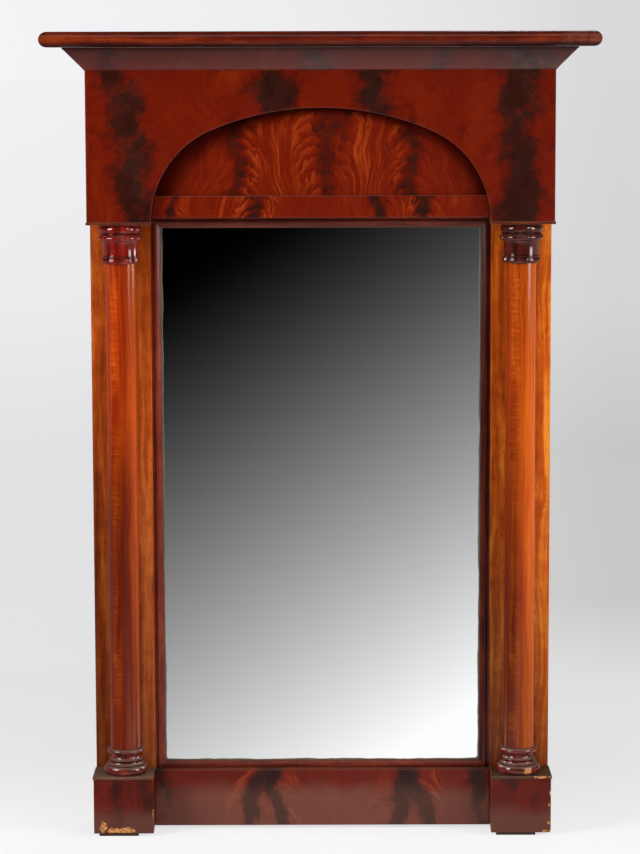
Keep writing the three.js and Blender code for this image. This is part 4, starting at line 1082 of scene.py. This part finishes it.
class MIRROR_OT_set_plate(bpy.types.Operator):
    """Set the plate: silvered glass, the sight moulding in front of it and the slips behind it"""

    bl_idname = "mirror.set_plate"
    bl_label = "Plate"

    def sight_section(self):
        """The moulding's outline in width and depth: a quirk, a shoulder and one broad swelling slope."""
        slope = [(x, 1.3 + ((x - 5.2) / 8.0) ** 1.5 * 4.7) for x in np.linspace(5.2, 13.2, 12)]
        shoulder = [(x, 1.3 + ((5.2 - x) / 1.9) ** 2 * 2.0) for x in np.linspace(3.4, 5.0, 6)]
        outline = [(0, 9), (0, 3.4), (3.2, 3.5), *shoulder, *slope, (13.6, 6.3), (13.8, 6.8), (13.8, 9)]
        return [(u * MM, v * MM) for u, v in outline]

    def execute(self, context):
        woods = {way: straight_mahogany(f"sight mahogany along {way}", ("#3c120b", "#5f2013", "#74301d"),
                                        lengthways=way, rough=0.24, dustiness=0.25, rub="#6b3d2c",
                                        shine=0.2) for way in ("X", "Z")}
        section = self.sight_section()
        reach, face, gap = extent("sight_moulding_right")[1][0], extent("stile_left")[0][1], 0.05 * MM
        foot = extent("sight_moulding_bottom")[0][2]
        head = extent("sight_moulding_top")[1][2]
        runs = {}
        for name, z, up in (("bottom", foot, 1), ("top", head, -1)):
            runs[name] = tuple(
                lambda u, v, s=s, z=z, up=up: (s * (reach - u - gap), face + v, z + up * u)
                for s in (-1, 1))
        for name, s in SIDES.items():
            runs[name] = (lambda u, v, s=s: (s * (reach - u), face + v, foot + u + gap),
                          lambda u, v, s=s: (s * (reach - u), face + v, head - u - gap))
        steps = 60
        arris = np.zeros(len(section))
        arris[[8, -3, -4]] = 0.9
        for name, (start, end) in runs.items():
            points, faces = sweep_surface(section, start, end, steps)
            tone = {"left": 0.45, "right": -0.35}.get(name, 0.0)
            wood = woods["Z" if name in SIDES else "X"]
            make_piece(f"sight_run_{name}", points, faces, wood, "turned_mahogany", "frame",
                       [f"sight_moulding_{name}"],
                       {"arris": np.tile(arris, steps + 1), "tone": np.full(len(points), tone)},
                       smooth_under=28)
        width = section[-1][0]
        dress(silvered_plate("silvered plate glass", reach - width, foot + width), "mirror_glass")
        dress(aged_pine("slip pine", lengthways="Z"), "glass_slip_left", "glass_slip_right")
        dress(aged_pine("cross slip pine"), "glass_slip_bottom", "glass_slip_top")
        return {"FINISHED"}


class MIRROR_OT_close_back(bpy.types.Operator):
    """Close the back: two sawn pine boards and their nails"""

    bl_idname = "mirror.close_back"
    bl_label = "Back"

    def execute(self, context):
        sizes = context.scene.mirror_sizes
        iron = forged_iron("nail iron")
        for node in sorted(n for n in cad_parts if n.startswith("backboard")):
            if "nail" in node:
                dress(iron, node)
            else:
                low, high = extent(node)
                pine = aged_pine(f"{node} pine", (0.0, low[1] - 0.05, 0.35 * low[2] + 0.65 * high[2]))
                board(f"sawn_{node}", node, pine, "pine", radius=sizes.sawn_arris)
        return {"FINISHED"}


class MIRROR_OT_hang_rings(bpy.types.Operator):
    """Hang the rings: straps, screws and the rings that swing in them"""

    bl_idname = "mirror.hang_rings"
    bl_label = "Hangers"

    def execute(self, context):
        iron = forged_iron("forged iron")
        dress(iron, *sorted(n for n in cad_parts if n.startswith("hanger")))
        return {"FINISHED"}


class MIRROR_OT_light_stage(bpy.types.Operator):
    """Light the stage: pale floor, room, softboxes and the camera"""

    bl_idname = "mirror.light_stage"
    bl_label = "Stage"

    # The camera that was fitted to the photo's edges, in metres, radians and pixels.
    eye = Vector((-0.0018, -4.058, 1.0955))
    pitch = 0.1274
    roll = -0.0028
    focal_pixels = 2959.2
    image_width = 640

    def camera(self, context):
        """Sets up the fitted camera."""
        data = bpy.data.cameras.new("studio_camera")
        data.sensor_fit = "HORIZONTAL"
        data.sensor_width = 36.0
        data.lens = self.focal_pixels / self.image_width * data.sensor_width
        data.clip_end = 100.0
        camera = bpy.data.objects.new("studio_camera", data)
        context.scene.collection.objects.link(camera)
        camera.matrix_world = (Matrix.Translation(self.eye)
                               @ Matrix.Rotation(math.pi / 2 - self.pitch, 4, "X")
                               @ Matrix.Rotation(self.roll, 4, "Z"))
        context.scene.camera = camera

    def softbox(self, context, name, azimuth, distance, height, size, power, aim=0.7):
        """A flat lamp that looks at the mirror's axis at the aim's height. Azimuth 0 is in front."""
        data = bpy.data.lights.new(name, "AREA")
        data.shape = "RECTANGLE"
        data.size, data.size_y = size
        data.energy = power
        lamp = bpy.data.objects.new(name, data)
        context.scene.collection.objects.link(lamp)
        turn = math.radians(azimuth)
        lamp.location = (distance * math.sin(turn), -distance * math.cos(turn), height)
        way = Vector((0, 0, aim)) - lamp.location
        lamp.rotation_euler = way.to_track_quat("-Z", "Y").to_euler()

    def painted_floor_reflection(self, tree, x, y):
        """The floor as polish and the plate mirror it: a glow with painted shade, which no lamp lights. A
        point's share is its distance in front of the plate over that distance and the eye's together, so it
        grows evenly up the plate, and across is where the plate shows the point. The glow darkens evenly
        with the share and towards the left, a painted falloff, and fades to the sides of the strip that the
        plate shows."""
        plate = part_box("mirror_glass")[0].y
        foot_level, fall, rise_to_right, gamma, half_strip = 1.045, 1.237, 0.7, 2.2, 0.223
        ahead = add(tree, "Math", {0: plate, 1: y}, operation="SUBTRACT")
        ahead = add(tree, "Math", {0: ahead, 1: 0.0}, operation="MAXIMUM")
        total = add(tree, "Math", {0: ahead, 1: plate - self.eye.y}, operation="ADD")
        share = add(tree, "Math", {0: ahead, 1: total}, operation="DIVIDE")
        remainder = add(tree, "Math", {0: 1.0, 1: share}, operation="SUBTRACT")
        across = add(tree, "Math", {0: x, 1: remainder}, operation="MULTIPLY")
        level = add(tree, "Math", {0: share, 1: -fall, 2: foot_level}, operation="MULTIPLY_ADD")
        near_axis = add(tree, "Clamp", {0: across, 1: -0.3, 2: 0.3})
        level = add(tree, "Math", {0: near_axis, 1: rise_to_right, 2: level}, operation="MULTIPLY_ADD",
                    use_clamp=True)
        glow = add(tree, "Math", {0: level, 1: gamma}, operation="POWER")
        # Past the strip it fades, ever more softly, but not close by the mirror's foot.
        off_axis = add(tree, "Math", {0: across}, operation="ABSOLUTE")
        fade_end = add(tree, "Math", {0: share, 1: 0.6, 2: 0.24}, operation="MULTIPLY_ADD")
        fade = add(tree, "MapRange", {"Value": off_axis, 1: half_strip, 2: fade_end, 3: 1.0, 4: 0.4},
                   interpolation_type="SMOOTHSTEP")
        past_foot = add(tree, "MapRange", {"Value": share, 1: 0.05, 2: 0.09})
        beside = add(tree, "Math", {0: x}, operation="ABSOLUTE")
        beside = add(tree, "MapRange", {"Value": beside, 1: 0.45, 2: 0.7})
        fading = add(tree, "Math", {0: past_foot, 1: beside}, operation="MAXIMUM")
        fade = add(tree, "Mix", {"Factor": fading, "A": 1.0, "B": fade})
        glow = add(tree, "Math", {0: glow, 1: fade}, operation="MULTIPLY")
        return add(tree, "Emission", {"Color": glow, "Strength": 1.05})

    def paper_floor(self, tree, x, y, away):
        """The floor as the camera sees it, a glow with painted shade: brightest under the mirror, greyest
        some
        3 m past it and to the right. Near is a point's closeness to the eye, and slope its place across the
        picture."""
        depth = add(tree, "Math", {0: y, 1: -self.eye.y}, operation="ADD")
        depth = add(tree, "Math", {0: depth, 1: 0.5}, operation="MAXIMUM")
        near = add(tree, "Math", {0: 3.9, 1: depth}, operation="DIVIDE")
        slope = add(tree, "Math", {0: x, 1: depth}, operation="DIVIDE")
        to_right = add(tree, "MapRange", {"Value": slope, 1: -0.1, 2: 0.1})
        to_right = add(tree, "Math", {0: to_right, 1: 1.5}, operation="POWER")
        behind = add(tree, "MapRange", {"Value": y, 1: -0.5, 2: 0.5})
        to_right = add(tree, "Mix", {"Factor": behind, "A": 0.3, "B": to_right})
        left = add(tree, "ValToRGB", {0: near}, stops=[(0.0, "#f2f1f4"), (0.3, "#ececee"),
                                                       (0.48, "#e2e2e4"), (0.77, "#e3e3e4"),
                                                       (0.86, "#efeff0"), (0.9, "#f9f9fa"),
                                                       (0.97, "#ffffff")])
        right = add(tree, "ValToRGB", {0: near}, stops=[(0.0, "#d8d8da"), (0.3, "#d4d4d5"),
                                                        (0.48, "#c7c7c6"), (0.67, "#c9c9c8"),
                                                        (0.77, "#dfdfdf"), (0.9, "#f3f3f3"),
                                                        (0.97, "#fdfdfd")])
        paper = add(tree, "Mix", {"Factor": to_right, "A": left, "B": right}, data_type="RGBA")
        # Seen from the sides it pales into the room far out, so that no horizon shows.
        steep = add(tree, "Math", {0: slope}, operation="ABSOLUTE")
        steep = add(tree, "MapRange", {"Value": steep, 1: 0.15, 2: 0.4})
        in_front = add(tree, "MapRange", {"Value": y, 1: 0.0, 2: -2.0})
        from_side = add(tree, "Math", {0: steep, 1: in_front}, operation="MAXIMUM")
        remote = add(tree, "MapRange", {"Value": away, 1: 3.0, 2: 15.0}, interpolation_type="SMOOTHSTEP")
        remote = add(tree, "Math", {0: remote, 1: from_side}, operation="MULTIPLY")
        paper = add(tree, "Mix", {"Factor": remote, "A": paper, "B": "#f4f3f6"}, data_type="RGBA")
        return add(tree, "Emission", {"Color": paper, "Strength": 1.0})

    def floor_material(self):
        """White studio floor, painted matt: lamps light it, the camera sees mostly the glowing paper with
        its painted shade, mixed near the mirror with the lit floor that keeps the contact shadow, and
        polish mirrors a painted glow."""
        material, tree = new_material("painted studio floor")
        place = add(tree, "TexCoord", out="Object")
        x, y = (add(tree, "SeparateXYZ", {0: place}, out=k) for k in (0, 1))
        away = add(tree, "VectorMath", {0: place}, operation="LENGTH")
        far = add(tree, "MapRange", {"Value": away, 1: 0.4, 2: 1.3, 3: 0.7, 4: 1.0},
                  interpolation_type="SMOOTHSTEP")
        camera = add(tree, "LightPath", out="Is Camera Ray")
        far = add(tree, "Math", {0: far, 1: camera}, operation="MULTIPLY")
        lit = add(tree, "BsdfDiffuse", {"Color": "#f2f2f3"})
        ground = add(tree, "MixShader", {0: far, 1: lit, 2: self.paper_floor(tree, x, y, away)})
        glossy = add(tree, "LightPath", out="Is Glossy Ray")
        shader = add(tree, "MixShader", {0: glossy, 1: ground, 2: self.painted_floor_reflection(tree, x, y)})
        add(tree, "OutputMaterial", {"Surface": shader})
        return material

    def floor(self, context):
        """One large square at the mirror's foot."""
        reach = 300.0
        mesh = bpy.data.meshes.new("studio_floor")
        mesh.from_pydata([(-reach, -reach, 0), (reach, -reach, 0), (reach, reach, 0),
                          (-reach, reach, 0)], [], [(0, 1, 2, 3)])
        mesh.materials.append(self.floor_material())
        floor = bpy.data.objects.new("studio_floor", mesh)
        context.scene.collection.objects.link(floor)

    def room(self, context, ambient):
        """The room: pale paper for the camera, with a painted shade that greys it to the right, dusk for
        what polish mirrors, and an even light on everything else."""
        world = bpy.data.worlds.new("studio_room")
        context.scene.world = world
        world.use_nodes = True
        tree = world.node_tree
        tree.nodes.clear()
        seen = add(tree, "LightPath", out="Is Camera Ray")
        mirrored = add(tree, "LightPath", out="Is Glossy Ray")
        way = add(tree, "TexCoord", out="Generated")
        to_right = add(tree, "SeparateXYZ", {0: way}, out=0)
        to_right = add(tree, "MapRange", {"Value": to_right, 1: -0.1, 2: 0.1})
        shade = add(tree, "ValToRGB", {0: to_right}, stops=[(0.0, "#f4f3f6"), (0.5, "#edecef"),
                                                            (0.8, "#e3e2e5"), (0.95, "#d9d9db")])
        paper = add(tree, "Background", {"Color": shade, "Strength": 1.0})
        light = add(tree, "Background", {"Color": "#ffffff", "Strength": ambient})
        dusk = add(tree, "Background", {"Color": "#ffffff", "Strength": 0.03})
        shaded = add(tree, "MixShader", {0: mirrored, 1: light, 2: dusk})
        both = add(tree, "MixShader", {0: seen, 1: shaded, 2: paper})
        add(tree, "OutputWorld", {"Surface": both})

    def execute(self, context):
        settings = context.scene.stage_settings
        self.camera(context)
        self.floor(context)
        key = settings.key_power
        self.softbox(context, "left_box", -60, 2.2, 1.35, (0.9, 1.1), key * 1.45)
        self.softbox(context, "right_box", 66, 2.2, 1.2, (0.7, 1.25), key * 0.9)
        self.softbox(context, "front_right_box", 42, 2.6, 1.9, (0.5, 0.5), key * 0.45)
        self.softbox(context, "top_box", 0, 1.6, 3.0, (1.6, 0.7), settings.top_power)
        self.softbox(context, "back_box", 160, 2.2, 2.7, (1.0, 0.8), key * 0.45)
        self.room(context, settings.ambient)
        context.scene.view_settings.view_transform = "Standard"
        return {"FINISHED"}


class MIRROR_PT_panel(bpy.types.Panel):
    """Lists the mirror's pieces and the sizes and colours of their finish"""

    bl_idname = "MIRROR_PT_panel"
    bl_label = "Overmantel mirror"
    bl_space_type = "VIEW_3D"
    bl_region_type = "UI"
    bl_category = "Mirror"

    def draw(self, context):
        for operator in OPERATORS:
            self.layout.operator(operator.bl_idname)
        for group in (context.scene.mirror_sizes, context.scene.mirror_colours,
                      context.scene.stage_settings):
            for key in group.__annotations__:
                self.layout.prop(group, key)


OPERATORS = (
    MIRROR_OT_light_stage,
    MIRROR_OT_join_carcass,
    MIRROR_OT_build_plinths,
    MIRROR_OT_turn_columns,
    MIRROR_OT_veneer_frieze,
    MIRROR_OT_run_cornice,
    MIRROR_OT_set_plate,
    MIRROR_OT_close_back,
    MIRROR_OT_hang_rings,
)
GROUPS = {
    "mirror_sizes": MirrorSizes,
    "mirror_colours": MirrorColours,
    "stage_settings": StageSettings,
}


def register():
    """Registers the classes and hangs each group of settings on the scene."""
    for kind in (*GROUPS.values(), *OPERATORS, MIRROR_PT_panel):
        bpy.utils.register_class(kind)
    for name, group in GROUPS.items():
        setattr(bpy.types.Scene, name, PointerProperty(type=group))


def unregister():
    """Takes the settings and the classes away again."""
    for name in GROUPS:
        delattr(bpy.types.Scene, name)
    for kind in (MIRROR_PT_panel, *reversed(OPERATORS), *reversed(list(GROUPS.values()))):
        bpy.utils.unregister_class(kind)


def main():
    """Registers the add-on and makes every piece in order."""
    register()
    for operator in OPERATORS:
        family, name = operator.bl_idname.split(".")
        getattr(getattr(bpy.ops, family), name)()


if __name__ == "__main__":
    main()
